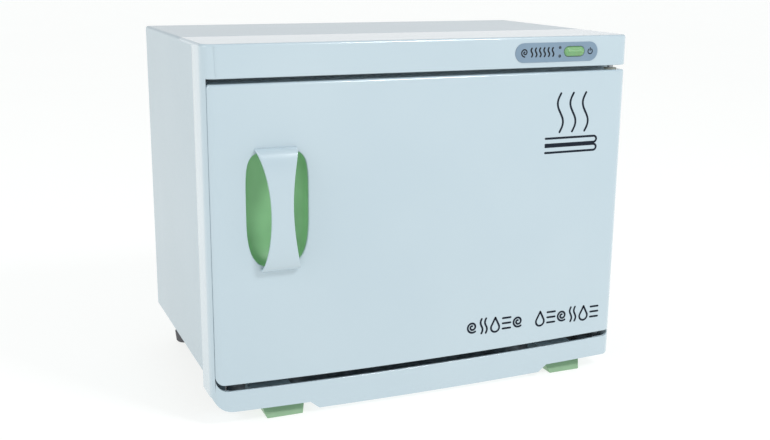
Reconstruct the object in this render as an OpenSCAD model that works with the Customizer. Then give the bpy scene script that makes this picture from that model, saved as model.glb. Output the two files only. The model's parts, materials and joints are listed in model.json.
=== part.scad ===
// Hot towel warmer cabinet, 23 litre class: a steel case round an aluminium warming chamber,
// a plastic front frame, and a hinged door with a bow handle over a green finger cup.
// Millimetres, +Z up, the door faces -Y, origin on the floor under the middle of the cabinet.

/* [Cabinet] */
// Width over the side panels
case_w = 450; // [440:1:480]
// Depth from the door's face to the back edge of the side panels
case_d = 265.5; // [262:0.5:290]
// Height from the floor to the top
case_h = 366; // [362:1:390]
// Height of the side panels' lower edge above the floor
case_lift = 46; // [44:0.5:48]
// Thickness of the case's sheet steel
sheet_t = 1; // [0.8:0.1:1.2]
// Depth of the plastic front frame on the sides
frame_d = 38; // [36:0.5:42]
// Depth of the plastic deck on the top
deck_d = 91; // [80:1:110]
// Wall thickness of the front frame
frame_t = 3.8; // [3.6:0.1:4]

/* [Front] */
// Height of the control fascia
fascia_h = 31; // [29:0.5:36]
// Gap between the fascia and the door
top_gap = 4.85; // [4:0.05:6]
// Corner radius of the fascia and door, left side, seen from above
plan_r_left = 12; // [10:0.5:13]
// Corner radius of the fascia and door, right side, seen from above
plan_r_right = 10; // [9:0.5:11]
// Radius of the shallow arch of the lower rail and the door's lower edge
arch_r = 6600; // [5000:100:9000]
// Height of the lower rail's upper edge at the middle
rail_top = 32.7; // [32:0.1:35]
// Height of the lower rail's lower edge at the middle
rail_low = 4; // [3:0.5:6]
// How far the rail's ends are raised over the feet
rail_raise = 7.3; // [6:0.1:8]

/* [Door] */
// Thickness of the door
door_t = 32; // [31:0.5:33]
// Height of the door's lower edge at the middle
door_low = 38.9; // [38.5:0.1:41]
// Wall thickness of the door's outer shell
door_wall = 2.5; // [2.2:0.1:2.8]
// Side gap between the door and the left stile
stile_gap = 1; // [0.9:0.1:1.8]
// Corner radius of the door, lower left
door_corner_r = 9; // [7:0.5:11]

/* [Handle] */
// Distance of the handle's middle from the left side
handle_in = 67.9; // [64:0.1:72]
// Height of the handle's middle
handle_z = 211.4; // [190:0.2:230]
// Length of the handle strap
strap_len = 118.7; // [110:0.5:126]
// Width of the strap at its ends
strap_end_w = 38; // [36:0.5:40]
// Width of the strap at its waist
strap_waist_w = 21; // [18:0.2:26]
// How far the strap stands in front of the door
strap_proud = 16.5; // [15:0.5:17]
// Thickness of the strap
strap_t = 3; // [2.6:0.1:3.4]
// Half width of the finger cup's mouth
cup_half_w = 30.4; // [28:0.1:33]
// Half height of the finger cup's mouth
cup_half_h = 55.5; // [53:0.5:57]
// How full the mouth's ends are: 2 is an ellipse, and more is closer to a rectangle
cup_fullness = 5; // [2:0.1:6]
// Depth of the finger cup
cup_d = 20; // [16:0.5:22]

/* [Chamber] */
// Inside width of the warming chamber
chamber_w = 368; // [350:1:370]
// Inside height of the warming chamber
chamber_h = 246; // [230:1:248]
// Height of the chamber's floor
chamber_z = 62; // [61:0.5:64]
// Thickness of the aluminium liner
liner_t = 1; // [0.8:0.1:1.2]
// Thickness of the insulation
wool_t = 10; // [8:0.5:10]
// Height of the lower rack
lower_rack_z = 94; // [90:1:100]
// Height of the upper rack
upper_rack_z = 192; // [170:1:210]
// Number of cross wires in a rack
rack_wires = 15; // [11:1:19]

/* [Controls] */
// Length of the control label
label_l = 96; // [90:0.5:100]
// Height of the control label
label_h = 19.5; // [17:0.5:21]
// Length of the power button
button_l = 23.8; // [20:0.2:26]
// Height of the power button
button_h = 10; // [8:0.2:11]
// How far the power button stands proud when released
button_proud = 3.6; // [3:0.1:4.5]
// How far the power button travels when pressed
button_travel = 2; // [1.5:0.1:2.4]

/* [Hidden] */
$fn = 48;
half_w = case_w / 2;
rear_proud = 3;
total_d = strap_proud + case_d + rear_proud;
front_y = strap_proud - total_d / 2;
back_y = front_y + case_d;
frame_back = front_y + frame_d;
deck_back = front_y + deck_d;
fascia_z = case_h - fascia_h;
door_top = fascia_z - top_gap;
door_back = front_y + door_t;
flange_front = door_back + 1.5;
flange_t = frame_back - flange_front;
fit = 0.3;                       // general clearance between loose pieces
stile_x = -half_w + frame_t;     // inner face of the left stile
door_left = stile_x + stile_gap;

hinge_x = half_w - 12;           // the door turns about a vertical line here
hinge_y = front_y + 14;
pin_r = 3;
pin_play = 0.05;                 // running clearance of the pins in their bushes
bush_r = 5;
bush_flange_r = 6.5;
bush_flange_t = 1.2;
bush_len = 14;
catch_dz = 50;                   // the two catches sit this far above and below the handle's middle

notch_left_a = -half_w + 98.3;   // the rail steps down between these pairs of stations
notch_left_b = -half_w + 107.4;
notch_right_a = -half_w + 359;
notch_right_b = -half_w + 368.5;
rail_corner_left = 22;
rail_corner_right = 9;
gap_corner = 13;
rail_horn_z = 41.2;               // top of the rail's turned-up right end
rail_horn_t = 4;
rail_horn_r = 5;

bend_r = 3;                      // bend of the case's top corners
plinth_x = half_w - 22;
plinth_z = 13;
plinth_front = front_y + 33;
plinth_back = back_y - 5.5;
foot_h = 12.4;
foot_w = 45.2;
foot_taper = 4.2;
foot_toe = 8;
foot_top_y = front_y + 12;
foot_d = 26;
foot_x = [-half_w + 73.4, -half_w + 394.6];
bracket_w = 40.5;
bracket_x = [-half_w + 40.5, -half_w + 363.5];
bracket_top = 32.5;
bracket_t = 1.5;
rear_foot_r = 12;
rear_foot_x = half_w - 28;
rear_foot_y = front_y + 251.5;

panel_front = back_y - 2.5;      // rear panel, set in between the side panels
panel_t = 1.5;
panel_back = panel_front + panel_t;

chamber_half = chamber_w / 2;
chamber_top = chamber_z + chamber_h;
chamber_back = front_y + 250;
heater_t = 2;
heater_w = 300;
heater_d = 150;
mouth_lip = 8;

handle_x = -half_w + handle_in;
strap_half = strap_len / 2;
strap_waist_sag = (strap_end_w - strap_waist_w) / 2;
strap_waist_r = (strap_half * strap_half + strap_waist_sag * strap_waist_sag) / (2 * strap_waist_sag);
strap_bow = 2.5;                 // exponent of the strap's bowed profile; 2 is an ellipse

label_x = -half_w + 363.5;
label_z = fascia_z + 15.2;
label_t = 0.6;
button_x = -half_w + 383.6;
button_z = fascia_z + 15.5;
lamp_x = -half_w + 366.6;
lamp_gap = 8.6;
lamp_r = 1.5;
stem_w = 8;
stem_h = 5;
switch_front = front_y + 9;
switch_d = 18;
stem_reach = 5;

side_gap_x = chamber_half + liner_t + wool_t;  // start of the wiring space beside the chamber
inlet_x = (side_gap_x + half_w - sheet_t) / 2;
inlet_z = 92;
inlet_w = 20;
inlet_h = 27.4;
inlet_body_d = 24;
screw_r = 1.8;
head_r = 3.6;

// ---- shared shapes ----

// A block between two corners.
module block(low, high) {
    translate(low)
        cube(high - low);
}

// A solid whose outline lies in the XZ plane, drawn as [x, z], between two depths.
module upright(y0, y1) {
    translate([0, y1, 0])
        rotate([90, 0, 0])
            linear_extrude(y1 - y0)
                children();
}

// A cylinder along Y between two depths.
module rod_y(x, z, r, y0, y1) {
    translate([x, y1, z])
        rotate([90, 0, 0])
            cylinder(r = r, h = y1 - y0);
}

// A cylinder along Z between two heights.
module rod_z(x, y, r, z0, z1) {
    translate([x, y, z0])
        cylinder(r = r, h = z1 - z0);
}

// A stadium outline about the origin.
module stadium(length, height) {
    square([length - height, height], center = true);
    for (side = [-1, 1])
        translate([side * (length - height) / 2, 0])
            circle(d = height);
}

// Points of an arc, from angle a0 to angle a1 in n steps.
function arc(cx, cy, r, a0, a1, n) =
    [for (i = [0:n]) [cx + r * cos(a0 + (a1 - a0) * i / n), cy + r * sin(a0 + (a1 - a0) * i / n)]];

// Height of the shallow arch at x, for an edge that is z_mid high in the middle.
function arch(x, z_mid) = z_mid + arch_r - sqrt(arch_r * arch_r - x * x);

// Points along the arch from x0 to x1.
function arch_points(x0, x1, z_mid, n) =
    [for (i = [0:n]) [x0 + (x1 - x0) * i / n, arch(x0 + (x1 - x0) * i / n, z_mid)]];

// Plan of the front with its rounded left and right corners, inset by g, back to depth y1.
module front_plan(g, x0, x1, y1) {
    rl = plan_r_left - g;
    rr = plan_r_right - g;
    polygon(concat(
        arc(x0 + g + rl, front_y + g + rl, rl, 180, 270, 10),
        arc(x1 - g - rr, front_y + g + rr, rr, 270, 360, 10),
        [[x1 - g, y1], [x0 + g, y1]]));
}

// ---- front frame ----

// Outline of the lower rail; its top is the arched edge with the turned-up ends.
module rail_outline() {
    low_left = arch(-half_w + rail_corner_left, rail_low + rail_raise);
    low_right = arch(half_w - rail_corner_right, rail_low + rail_raise);
    polygon(concat(
        arc(-half_w + rail_corner_left, low_left + rail_corner_left, rail_corner_left, 180, 270, 10),
        arch_points(-half_w + rail_corner_left + 1, notch_left_a, rail_low + rail_raise, 5),
        arch_points(notch_left_b, notch_right_a, rail_low, 16),
        arch_points(notch_right_b, half_w - rail_corner_right - 1, rail_low + rail_raise, 5),
        arc(half_w - rail_corner_right, low_right + rail_corner_right, rail_corner_right, 270, 360, 8),
        [[half_w, rail_horn_z], [half_w - rail_horn_t, rail_horn_z]],
        arc(half_w - rail_horn_t - rail_horn_r, arch(half_w, rail_top) + rail_horn_r,
            rail_horn_r, 360, 270, 6),
        arch_points(half_w - rail_horn_t - rail_horn_r - 1, stile_x + gap_corner + 1, rail_top, 20),
        arc(stile_x + gap_corner, arch(stile_x + gap_corner, rail_top) + gap_corner,
            gap_corner, 270, 180, 8),
        [[-half_w, arch(stile_x + gap_corner, rail_top) + gap_corner]]));
}

// Outline of the whole front frame: fascia, left stile and rail.
module frame_outline() {
    rail_outline();
    translate([-half_w, rail_corner_left + rail_raise])
        square([frame_t, fascia_z - rail_corner_left]);
    translate([-half_w, fascia_z])
        square([case_w, fascia_h]);
}

module front_frame() {
    color([0.82, 0.87, 0.90])
    difference() {
        union() {
            intersection() {
                linear_extrude(case_h)
                    front_plan(0, -half_w, half_w, frame_back);
                upright(front_y, frame_back)
                    frame_outline();
            }
            // deck over the front of the case
            translate([0, 0, case_h - 3])
                linear_extrude(3)
                    front_plan(0, -half_w, half_w, deck_back);
            // face that the door closes on
            block([-half_w, flange_front, case_lift], [half_w, frame_back, fascia_z]);
            for (side = [0, 1])
                block([side ? plinth_x + 1 : -half_w, flange_front, case_lift - 16],
                    [side ? half_w : -plinth_x - 1, frame_back, case_lift]);
        }
        // hollow of the fascia, open to the back
        translate([0, 0, fascia_z + 3])
            linear_extrude(fascia_h - 6)
                front_plan(3, -half_w, half_w, frame_back + 1);
        // channel behind the rail, open upwards
        upright(front_y + 3.5, flange_front)
            intersection() {
                offset(delta = -frame_t)
                    union() {
                        rail_outline();
                        translate([-half_w, rail_top - 10])
                            square([case_w, 40]);
                    }
                translate([-half_w, 0])
                    square([case_w, case_lift]);
            }
        // room for the plinth
        block([-plinth_x - 1, flange_front - 1, 0], [plinth_x + 1, frame_back + 1, case_lift]);
        // mouth of the chamber
        block([-chamber_half, flange_front - 1, chamber_z], [chamber_half, frame_back + 1, chamber_top]);
        // windows over the front feet
        for (i = [0, 1])
            block([foot_x[i] - 40, front_y + 9, 5], [foot_x[i] + 26, frame_back + 1, 20]);
        // holes for the button, the lamps and the hinge pin
        translate([button_x, 0, button_z])
            upright(front_y - 1, front_y + 5)
                stadium(button_l + 2 * fit, button_h + 2 * fit);
        for (side = [-1, 1])
            rod_y(lamp_x, button_z + side * lamp_gap / 2, lamp_r + 0.1, front_y - 1, front_y + 5);
        rod_z(hinge_x, hinge_y, pin_r + fit, fascia_z - 1, fascia_z + 4);
        // pockets for the catch magnets and holes for the screws
        for (side = [-1, 1])
            block([door_left + 4, flange_front - 1, handle_z + side * catch_dz - 15],
                [door_left + 18, flange_front + 3, handle_z + side * catch_dz + 15]);
        for (p = frame_screw_spots)
            rod_y(p[0], p[1], screw_r + 0.1, flange_front - 1, frame_back + 1);
    }
}

frame_screw_spots = [for (side = [-1, 1], z = [chamber_z + 20, chamber_top - 20])
    [side * (chamber_half + 24), z]];

// ---- case ----

// Cross-section of the wrap: two sides and a top with bent corners, inset by g.
module wrap_outline(g, r) {
    polygon(concat(
        [[half_w - g, case_lift - 5], [half_w - g, case_h - g - r]],
        arc(half_w - g - r, case_h - g - r, r, 0, 90, 8),
        arc(-half_w + g + r, case_h - g - r, r, 90, 180, 8),
        [[-half_w + g, case_lift - 5]]));
}

module outer_case() {
    color([0.83, 0.86, 0.89])
    difference() {
        union() {
            difference() {
                upright(frame_back, back_y)
                    wrap_outline(0, bend_r);
                upright(frame_back - 1, back_y + 1)
                    wrap_outline(sheet_t, bend_r - sheet_t);
            }
            // inward flanges that the rear panel is screwed to
            for (side = [-1, 1])
                block([side > 0 ? half_w - 14 : -half_w, panel_front - sheet_t, case_lift + 4],
                    [side > 0 ? half_w : 14 - half_w, panel_front, case_h - 6]);
        }
        // the deck of the front frame replaces the front of the top
        block([-half_w - 1, frame_back - 1, case_h - 3], [half_w + 1, deck_back, case_h + 1]);
        block([-half_w - 1, frame_back - 1, 0], [half_w + 1, back_y + 1, case_lift]);
        block([inlet_x - inlet_w / 2 - 1, panel_front - 2, inlet_z - inlet_h / 2 - 1],
            [inlet_x + inlet_w / 2 + 1, panel_front + 1, inlet_z + inlet_h / 2 + 1]);
        for (p = panel_screw_spots)
            rod_y(p[0], p[1], screw_r + 0.1, panel_front - 3, panel_front + 1);
    }
}

panel_screw_spots = [for (side = [-1, 1], z = [70, 140, 270, 340]) [side * (half_w - 8), z]];

module rear_panel() {
    slot_pitch = 8;
    slot_w = 3;
    slot_h = 22;
    slots = 10;
    color([0.80, 0.83, 0.86])
    difference() {
        intersection() {
            upright(panel_front, panel_back)
                wrap_outline(sheet_t + 0.1, bend_r - sheet_t);
            block([-half_w, panel_front - 1, case_lift + 1], [half_w, panel_back + 1, case_h]);
        }
        // cooling slots of the wiring space above the chamber
        for (group_x = [-100, 100])
            for (i = [0:slots - 1])
                translate([group_x + (i - (slots - 1) / 2) * slot_pitch, panel_front - 1, case_h - 37])
                    block([-slot_w / 2, 0, 0], [slot_w / 2, panel_t + 2, slot_h]);
        block([inlet_x - inlet_w / 2 - 0.2, panel_front - 1, inlet_z - inlet_h / 2 - 0.2],
            [inlet_x + inlet_w / 2 + 0.2, panel_back + 1, inlet_z + inlet_h / 2 + 0.2]);
        for (p = panel_screw_spots)
            rod_y(p[0], p[1], screw_r + 0.1, panel_front - 1, panel_back + 1);
    }
}

module base_pan() {
    color([0.55, 0.58, 0.61])
    difference() {
        union() {
            block([-plinth_x, plinth_front, plinth_z], [plinth_x, plinth_back, case_lift]);
            block([-half_w + sheet_t, frame_back, case_lift],
                [half_w - sheet_t, panel_front - sheet_t - 0.2, case_lift + sheet_t]);
        }
        block([-plinth_x + sheet_t, plinth_front + sheet_t, plinth_z + sheet_t],
            [plinth_x - sheet_t, plinth_back - sheet_t, case_lift + 2]);
        for (p = foot_screw_spots)
            rod_z(p[0], p[1], screw_r + 0.1, plinth_z - 1, plinth_z + 2);
    }
}

rear_foot_spots = [for (side = [-1, 1]) [side * rear_foot_x, rear_foot_y]];
foot_screw_spots = rear_foot_spots;

// ---- chamber ----

module chamber_liner() {
    color([0.78, 0.79, 0.80])
    difference() {
        union() {
            block([-chamber_half - liner_t, frame_back, chamber_z - liner_t],
                [chamber_half + liner_t, chamber_back + liner_t, chamber_top + liner_t]);
            block([-chamber_half - mouth_lip, frame_back, chamber_z - mouth_lip],
                [chamber_half + mouth_lip, frame_back + liner_t, chamber_top + mouth_lip]);
        }
        block([-chamber_half, frame_back - 1, chamber_z], [chamber_half, chamber_back, chamber_top]);
    }
}

module insulation() {
    in = liner_t;
    out = liner_t + wool_t;
    y0 = frame_back + liner_t + 0.5;
    color([0.86, 0.80, 0.52])
    difference() {
        block([-chamber_half - out, y0, chamber_z - in - heater_t - wool_t],
            [chamber_half + out, chamber_back + in + heater_t + wool_t - 1, chamber_top + out]);
        block([-chamber_half - in, y0 - 1, chamber_z - in - heater_t],
            [chamber_half + in, chamber_back + in + heater_t, chamber_top + in]);
        // the thermostat and the thermal fuse sit on the chamber's right wall, in this window
        block([chamber_half + in, 40, 170], [chamber_half + out + 1, 78, 215]);
    }
}

module bottom_heater() {
    color([0.70, 0.62, 0.45])
        block([-heater_w / 2, -heater_d / 2 + 20, chamber_z - liner_t - heater_t],
            [heater_w / 2, heater_d / 2 + 20, chamber_z - liner_t]);
}

module back_heater() {
    z_mid = (chamber_z + chamber_top) / 2;
    color([0.70, 0.62, 0.45])
        block([-heater_w / 2, chamber_back + liner_t, z_mid - heater_d / 2],
            [heater_w / 2, chamber_back + liner_t + heater_t, z_mid + heater_d / 2]);
}

module thermostat() {
    color([0.25, 0.25, 0.27])
        translate([chamber_half + liner_t, 59, 200])
            rotate([0, 90, 0]) {
                cylinder(r = 8, h = 6);
                cylinder(r = 5.5, h = 13);
            }
}

module thermal_fuse() {
    color([0.85, 0.85, 0.82])
        translate([chamber_half + liner_t + 3, 46, 178])
            rotate([-90, 0, 0])
                cylinder(r = 3, h = 24);
}

// Ledges riveted to the chamber's walls, two for each rack.
module rack_runners() {
    color([0.75, 0.76, 0.78])
    for (z = [lower_rack_z, upper_rack_z])
        for (side = [-1, 1])
            scale([side, 1, 1])
                difference() {
                    block([chamber_half - 9, frame_back + 8, z - 4.5],
                        [chamber_half, chamber_back - 6, z + 6]);
                    block([chamber_half - 10, frame_back + 7, z - 2.5],
                        [chamber_half - 1.2, chamber_back - 5, z + 7]);
                }
}

// A flat shelf of round wire: a frame of four rods, cross wires and a raised back rail.
module rack(z) {
    frame_r = 2.5;
    wire_r = 1.5;
    x1 = chamber_half - 4;
    y0 = frame_back + 12;
    y1 = chamber_back - 8;
    pitch = 2 * (x1 - 8) / (rack_wires - 1);
    color([0.80, 0.80, 0.82]) {
        for (side = [-1, 1])
            translate([side * x1, 0, z])
                rod_y(0, 0, frame_r, y0, y1);
        for (y = [y0, y1])
            translate([-x1, y, z])
                rotate([0, 90, 0])
                    cylinder(r = frame_r, h = 2 * x1);
        for (side = [-1, 1])
            for (y = [y0, y1])
                translate([side * x1, y, z])
                    sphere(r = frame_r);
        for (i = [0:rack_wires - 1])
            rod_y(-x1 + 8 + i * pitch, z + 2.2, wire_r, y0, y1);
    }
}

module upper_rack() {
    rack(upper_rack_z);
}

module lower_rack() {
    rack(lower_rack_z);
}

module drip_tray() {
    tray_h = 10;
    wall = 1.2;
    low = [-chamber_half + 4, frame_back + 6, chamber_z + 0.1];
    high = [chamber_half - 4, chamber_back - 6, chamber_z + tray_h];
    color([0.72, 0.74, 0.76])
    difference() {
        block(low, high);
        block(low + [wall, wall, wall], high + [-wall, -wall, 1]);
    }
}

// ---- controls ----

module control_label() {
    color([0.48, 0.57, 0.65])
    upright(front_y - label_t, front_y)
        difference() {
            translate([label_x, label_z])
                stadium(label_l, label_h);
            translate([button_x, button_z])
                stadium(button_l + 2 * fit, button_h + 2 * fit);
            for (side = [-1, 1])
                translate([lamp_x, button_z + side * lamp_gap / 2])
                    circle(r = lamp_r + 0.1);
        }
}

module power_button() {
    cap_d = 7;
    color([0.55, 0.78, 0.50])
    translate([button_x, 0, button_z]) {
        upright(front_y - button_proud, front_y - button_proud + cap_d)
            stadium(button_l, button_h);
        block([-stem_w / 2, front_y - button_proud + cap_d, -stem_h / 2],
            [stem_w / 2, switch_front + stem_reach, stem_h / 2]);
    }
}

module switch_body() {
    color([0.16, 0.16, 0.18])
    translate([button_x, 0, button_z])
        difference() {
            block([-11, switch_front, -7], [11, switch_front + switch_d, 7]);
            block([-stem_w / 2 - fit, switch_front - 1, -stem_h / 2 - fit],
                [stem_w / 2 + fit, switch_front + stem_reach + button_travel + 1, stem_h / 2 + fit]);
        }
}

module control_board() {
    board_y = switch_front + switch_d;
    color([0.16, 0.42, 0.24])
        block([button_x - 62, board_y, fascia_z + 4], [button_x + 22, board_y + 1.6, case_h - 5]);
}

module indicator_lamps() {
    color([0.85, 0.30, 0.20])
    for (side = [-1, 1])
        rod_y(lamp_x, button_z + side * lamp_gap / 2, lamp_r, front_y - label_t - 0.3, front_y + 8);
}

// The mains loom: from the control board back along the roof, then down beside the chamber
// to the terminal block.
module wiring_loom() {
    r = 2.5;
    board_back = switch_front + switch_d + 1.6;
    z_roof = fascia_z + 8;
    x_side = side_gap_x + 10;
    turn_y = 100;
    block_top = 162;
    color([0.15, 0.15, 0.17]) {
        rod_y(button_x, z_roof, r, board_back, -60);
        translate([button_x, -60, z_roof])
            rotate([0, 90, 0])
                cylinder(r = r, h = x_side - button_x);
        rod_y(x_side, z_roof, r, -60, turn_y);
        rod_z(x_side, turn_y, r, block_top, z_roof);
        for (p = [[button_x, -60], [x_side, -60], [x_side, turn_y]])
            translate([p[0], p[1], z_roof])
                sphere(r = r);
    }
}

module terminal_block() {
    color([0.90, 0.88, 0.80])
    difference() {
        block([side_gap_x + 2, 88, 130], [side_gap_x + 16, 112, 162]);
        for (z = [138, 146, 154])
            translate([side_gap_x + 10, 100, z])
                rotate([0, 90, 0])
                    cylinder(r = 2, h = 7);
    }
}

module power_inlet() {
    flange = 4;
    color([0.12, 0.12, 0.13])
    translate([inlet_x, 0, inlet_z])
        difference() {
            union() {
                block([-inlet_w / 2 - 1.5, panel_back, -inlet_h / 2 - flange],
                    [inlet_w / 2 + 1.5, back_y + rear_proud, inlet_h / 2 + flange]);
                block([-inlet_w / 2, panel_back - inlet_body_d, -inlet_h / 2],
                    [inlet_w / 2, panel_back, inlet_h / 2]);
            }
            difference() {
                block([-8.2, panel_back - 15, -12], [8.2, back_y + rear_proud + 1, 12]);
                // three flat pins
                for (p = [[-4, 0], [1, -7], [1, 7]])
                    block([p[0] - 1.8, panel_back - 16, p[1] - 1], [p[0] + 1.8, panel_back, p[1] + 1]);
            }
        }
}

// ---- hinges and catch ----

module catch_magnets() {
    color([0.22, 0.22, 0.24])
    for (side = [-1, 1])
        block([door_left + 4.1, flange_front - 0.5, handle_z + side * catch_dz - 14.9],
            [door_left + 17.9, flange_front + 3, handle_z + side * catch_dz + 14.9]);
}

module hinge_bracket_top() {
    color([0.70, 0.71, 0.73])
    difference() {
        block([hinge_x - 16, front_y + 6, fascia_z + 3], [hinge_x + 7, flange_front, fascia_z + 5]);
        rod_z(hinge_x, hinge_y, pin_r, fascia_z, fascia_z + 6);
        for (p = top_hinge_screws)
            rod_z(p[0], p[1], screw_r + 0.1, fascia_z, fascia_z + 6);
    }
}

top_hinge_screws = [[hinge_x - 11, front_y + 10], [hinge_x - 11, front_y + 26]];
lower_bracket_z = 27;
shoulder_top = arch(hinge_x, door_low) - bush_flange_t - fit;

module hinge_bracket_bottom() {
    color([0.70, 0.71, 0.73])
    difference() {
        union() {
            block([hinge_x - 20, front_y + 5, lower_bracket_z],
                [hinge_x + 6, plinth_front, lower_bracket_z + 2.5]);
            block([hinge_x - 20, plinth_front - 2, lower_bracket_z - 8],
                [hinge_x - 12, plinth_front, lower_bracket_z + 1]);
        }
        rod_z(hinge_x, hinge_y, pin_r, lower_bracket_z - 1, lower_bracket_z + 4);
    }
}

module hinge_pin_top() {
    color([0.75, 0.76, 0.78]) {
        rod_z(hinge_x, hinge_y, pin_r, door_top - bush_len + 2, fascia_z + 5);
        rod_z(hinge_x, hinge_y, pin_r + 2, fascia_z + 5, fascia_z + 7.5);
    }
}

module hinge_pin_bottom() {
    color([0.75, 0.76, 0.78]) {
        rod_z(hinge_x, hinge_y, pin_r, lower_bracket_z - 1, shoulder_top + bush_len - 2);
        rod_z(hinge_x, hinge_y, pin_r + 2, lower_bracket_z + 2.5, shoulder_top);
    }
}

// A flanged plastic sleeve; grow enlarges its outside.
module bush(length, grow) {
    cylinder(r = bush_r + grow, h = length);
    cylinder(r = bush_flange_r + grow, h = bush_flange_t);
}

module hinge_bush_top() {
    color([0.92, 0.92, 0.90])
    difference() {
        translate([hinge_x, hinge_y, door_top + bush_flange_t])
            scale([1, 1, -1])
                bush(bush_len, 0);
        rod_z(hinge_x, hinge_y, pin_r + pin_play, door_top - bush_len - 2, door_top + 3);
    }
}

module hinge_bush_bottom() {
    z0 = arch(hinge_x, door_low) - bush_flange_t;
    color([0.92, 0.92, 0.90])
    difference() {
        translate([hinge_x, hinge_y, z0])
            bush(bush_len, 0);
        rod_z(hinge_x, hinge_y, pin_r + pin_play, z0 - 1, z0 + bush_len + 1);
    }
}

// ---- feet and fasteners ----

module front_foot_bracket(i) {
    x0 = bracket_x[i];
    back = plinth_front;
    color([0.74, 0.77, 0.80])
    difference() {
        union() {
            block([x0, front_y + 5, bracket_top - bracket_t], [x0 + bracket_w, back, bracket_top]);
            block([x0, back - bracket_t, foot_h], [x0 + bracket_w, back, bracket_top]);
            block([x0, foot_top_y, foot_h], [foot_x[i] + foot_w / 2, back, foot_h + bracket_t]);
        }
        rod_z(foot_x[i], foot_top_y + foot_d / 2 - 4, screw_r + 0.1, foot_h - 1, foot_h + 3);
    }
}

module front_foot_bracket_left() {
    front_foot_bracket(0);
}

module front_foot_bracket_right() {
    front_foot_bracket(1);
}

// A wedge foot: it narrows downwards at both sides and its toe reaches forwards.
module front_foot(i) {
    half = foot_w / 2;
    y0 = foot_top_y;
    color([0.56, 0.77, 0.56])
    difference() {
        intersection() {
            translate([foot_x[i], 0, 0])
                upright(y0 - foot_toe - 1, y0 + foot_d)
                    polygon([[-half + foot_taper, 0], [half - foot_taper, 0],
                        [half, foot_h], [-half, foot_h]]);
            translate([foot_x[i] - half - 1, 0, 0])
                rotate([90, 0, 90])
                    linear_extrude(foot_w + 2)
                        polygon([[y0 - foot_toe, 0], [y0 + foot_d - 6, 0],
                            [y0 + foot_d - 4, foot_h], [y0, foot_h]]);
        }
        rod_z(foot_x[i], y0 + foot_d / 2 - 4, screw_r + 0.1, -1, foot_h + 1);
        rod_z(foot_x[i], y0 + foot_d / 2 - 4, head_r + 0.4, -1, 5);
    }
}

module front_foot_left() {
    front_foot(0);
}

module front_foot_right() {
    front_foot(1);
}

module rear_foot(spot) {
    color([0.10, 0.10, 0.11])
    translate([spot[0], spot[1], 0])
        difference() {
            cylinder(r1 = rear_foot_r - 1.5, r2 = rear_foot_r, h = plinth_z);
            translate([0, 0, -1])
                cylinder(r = screw_r + 0.1, h = plinth_z + 2);
            translate([0, 0, -1])
                cylinder(r = head_r + 0.4, h = 6);
        }
}

module rear_foot_left() {
    rear_foot(rear_foot_spots[0]);
}

module rear_foot_right() {
    rear_foot(rear_foot_spots[1]);
}

// A pan-head screw with its head at the origin, its shank along +Z.
module screw(length) {
    head_t = 2;
    translate([0, 0, -head_t])
        cylinder(r = head_r, h = head_t);
    cylinder(r = screw_r, h = length);
}

module foot_screws() {
    color([0.68, 0.69, 0.71]) {
        for (p = rear_foot_spots)
            translate([p[0], p[1], 5])
                screw(12);
        for (i = [0, 1])
            translate([foot_x[i], foot_top_y + foot_d / 2 - 4, 5])
                screw(12);
    }
}

module rear_panel_screws() {
    color([0.68, 0.69, 0.71])
    for (p = panel_screw_spots)
        translate([p[0], panel_back, p[1]])
            rotate([90, 0, 0])
                screw(6);
}

module frame_screws() {
    color([0.68, 0.69, 0.71])
    for (p = frame_screw_spots)
        translate([p[0], flange_front, p[1]])
            rotate([-90, 0, 0]) {
                translate([0, 0, -1])
                    cylinder(r = head_r, h = 1);
                cylinder(r = screw_r, h = flange_t + 2);
            }
}

module hinge_screws() {
    color([0.68, 0.69, 0.71])
    for (p = top_hinge_screws)
        translate([p[0], p[1], fascia_z + 5]) {
            cylinder(r = head_r, h = 2);
            translate([0, 0, -2])
                cylinder(r = screw_r, h = 2);
        }
}

// ---- door ----

// Outline of the door's face, inset by g: straight top, arched lower edge.
module door_outline(g) {
    r = door_corner_r - g;
    x0 = door_left + g;
    x1 = half_w - g;
    z1 = door_top - g;
    low = door_low + g;
    polygon(concat(
        arc(x0 + r, arch(x0 + r, low) + r, r, 180, 270, 8),
        arch_points(x0 + r + 1, x1 - 5, low, 20),
        arc(x1 - 4, arch(x1 - 4, low) + 4, 4, 270, 360, 6),
        arc(x1 - 3, z1 - 3, 3, 0, 90, 5),
        arc(x0 + 3, z1 - 3, 3, 90, 180, 5)));
}

// The door as a filled form, inset by g, between two depths.
module door_form(g, y0, y1) {
    intersection() {
        linear_extrude(case_h)
            door_plan(g);
        upright(y0, y1)
            door_outline(g);
    }
}

// Plan of the door: the front follows the frame's corners, and the back right corner is
// rounded so that it clears the frame as the door swings.
module door_plan(g) {
    rl = plan_r_left - 3 - g;
    rr = plan_r_right - g;
    polygon(concat(
        arc(door_left + g + rl, front_y + g + rl, rl, 180, 270, 10),
        arc(half_w - g - rr, front_y + g + rr, rr, 270, 360, 10),
        arc(half_w - g - rr, door_back - g - rr, rr, 0, 90, 10),
        [[door_left + g, door_back - g]]));
}

// Mouth of the finger cup, inset by g: an upright oval with full, rounded ends.
module cup_mouth(g) {
    p = 2 / cup_fullness;
    polygon([for (i = [0:71])
        let (c = cos(i * 5), d = sin(i * 5))
        [handle_x + (cup_half_w - g) * sign(c) * pow(abs(c), p),
            handle_z + (cup_half_h - g) * sign(d) * pow(abs(d), p)]]);
}

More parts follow.
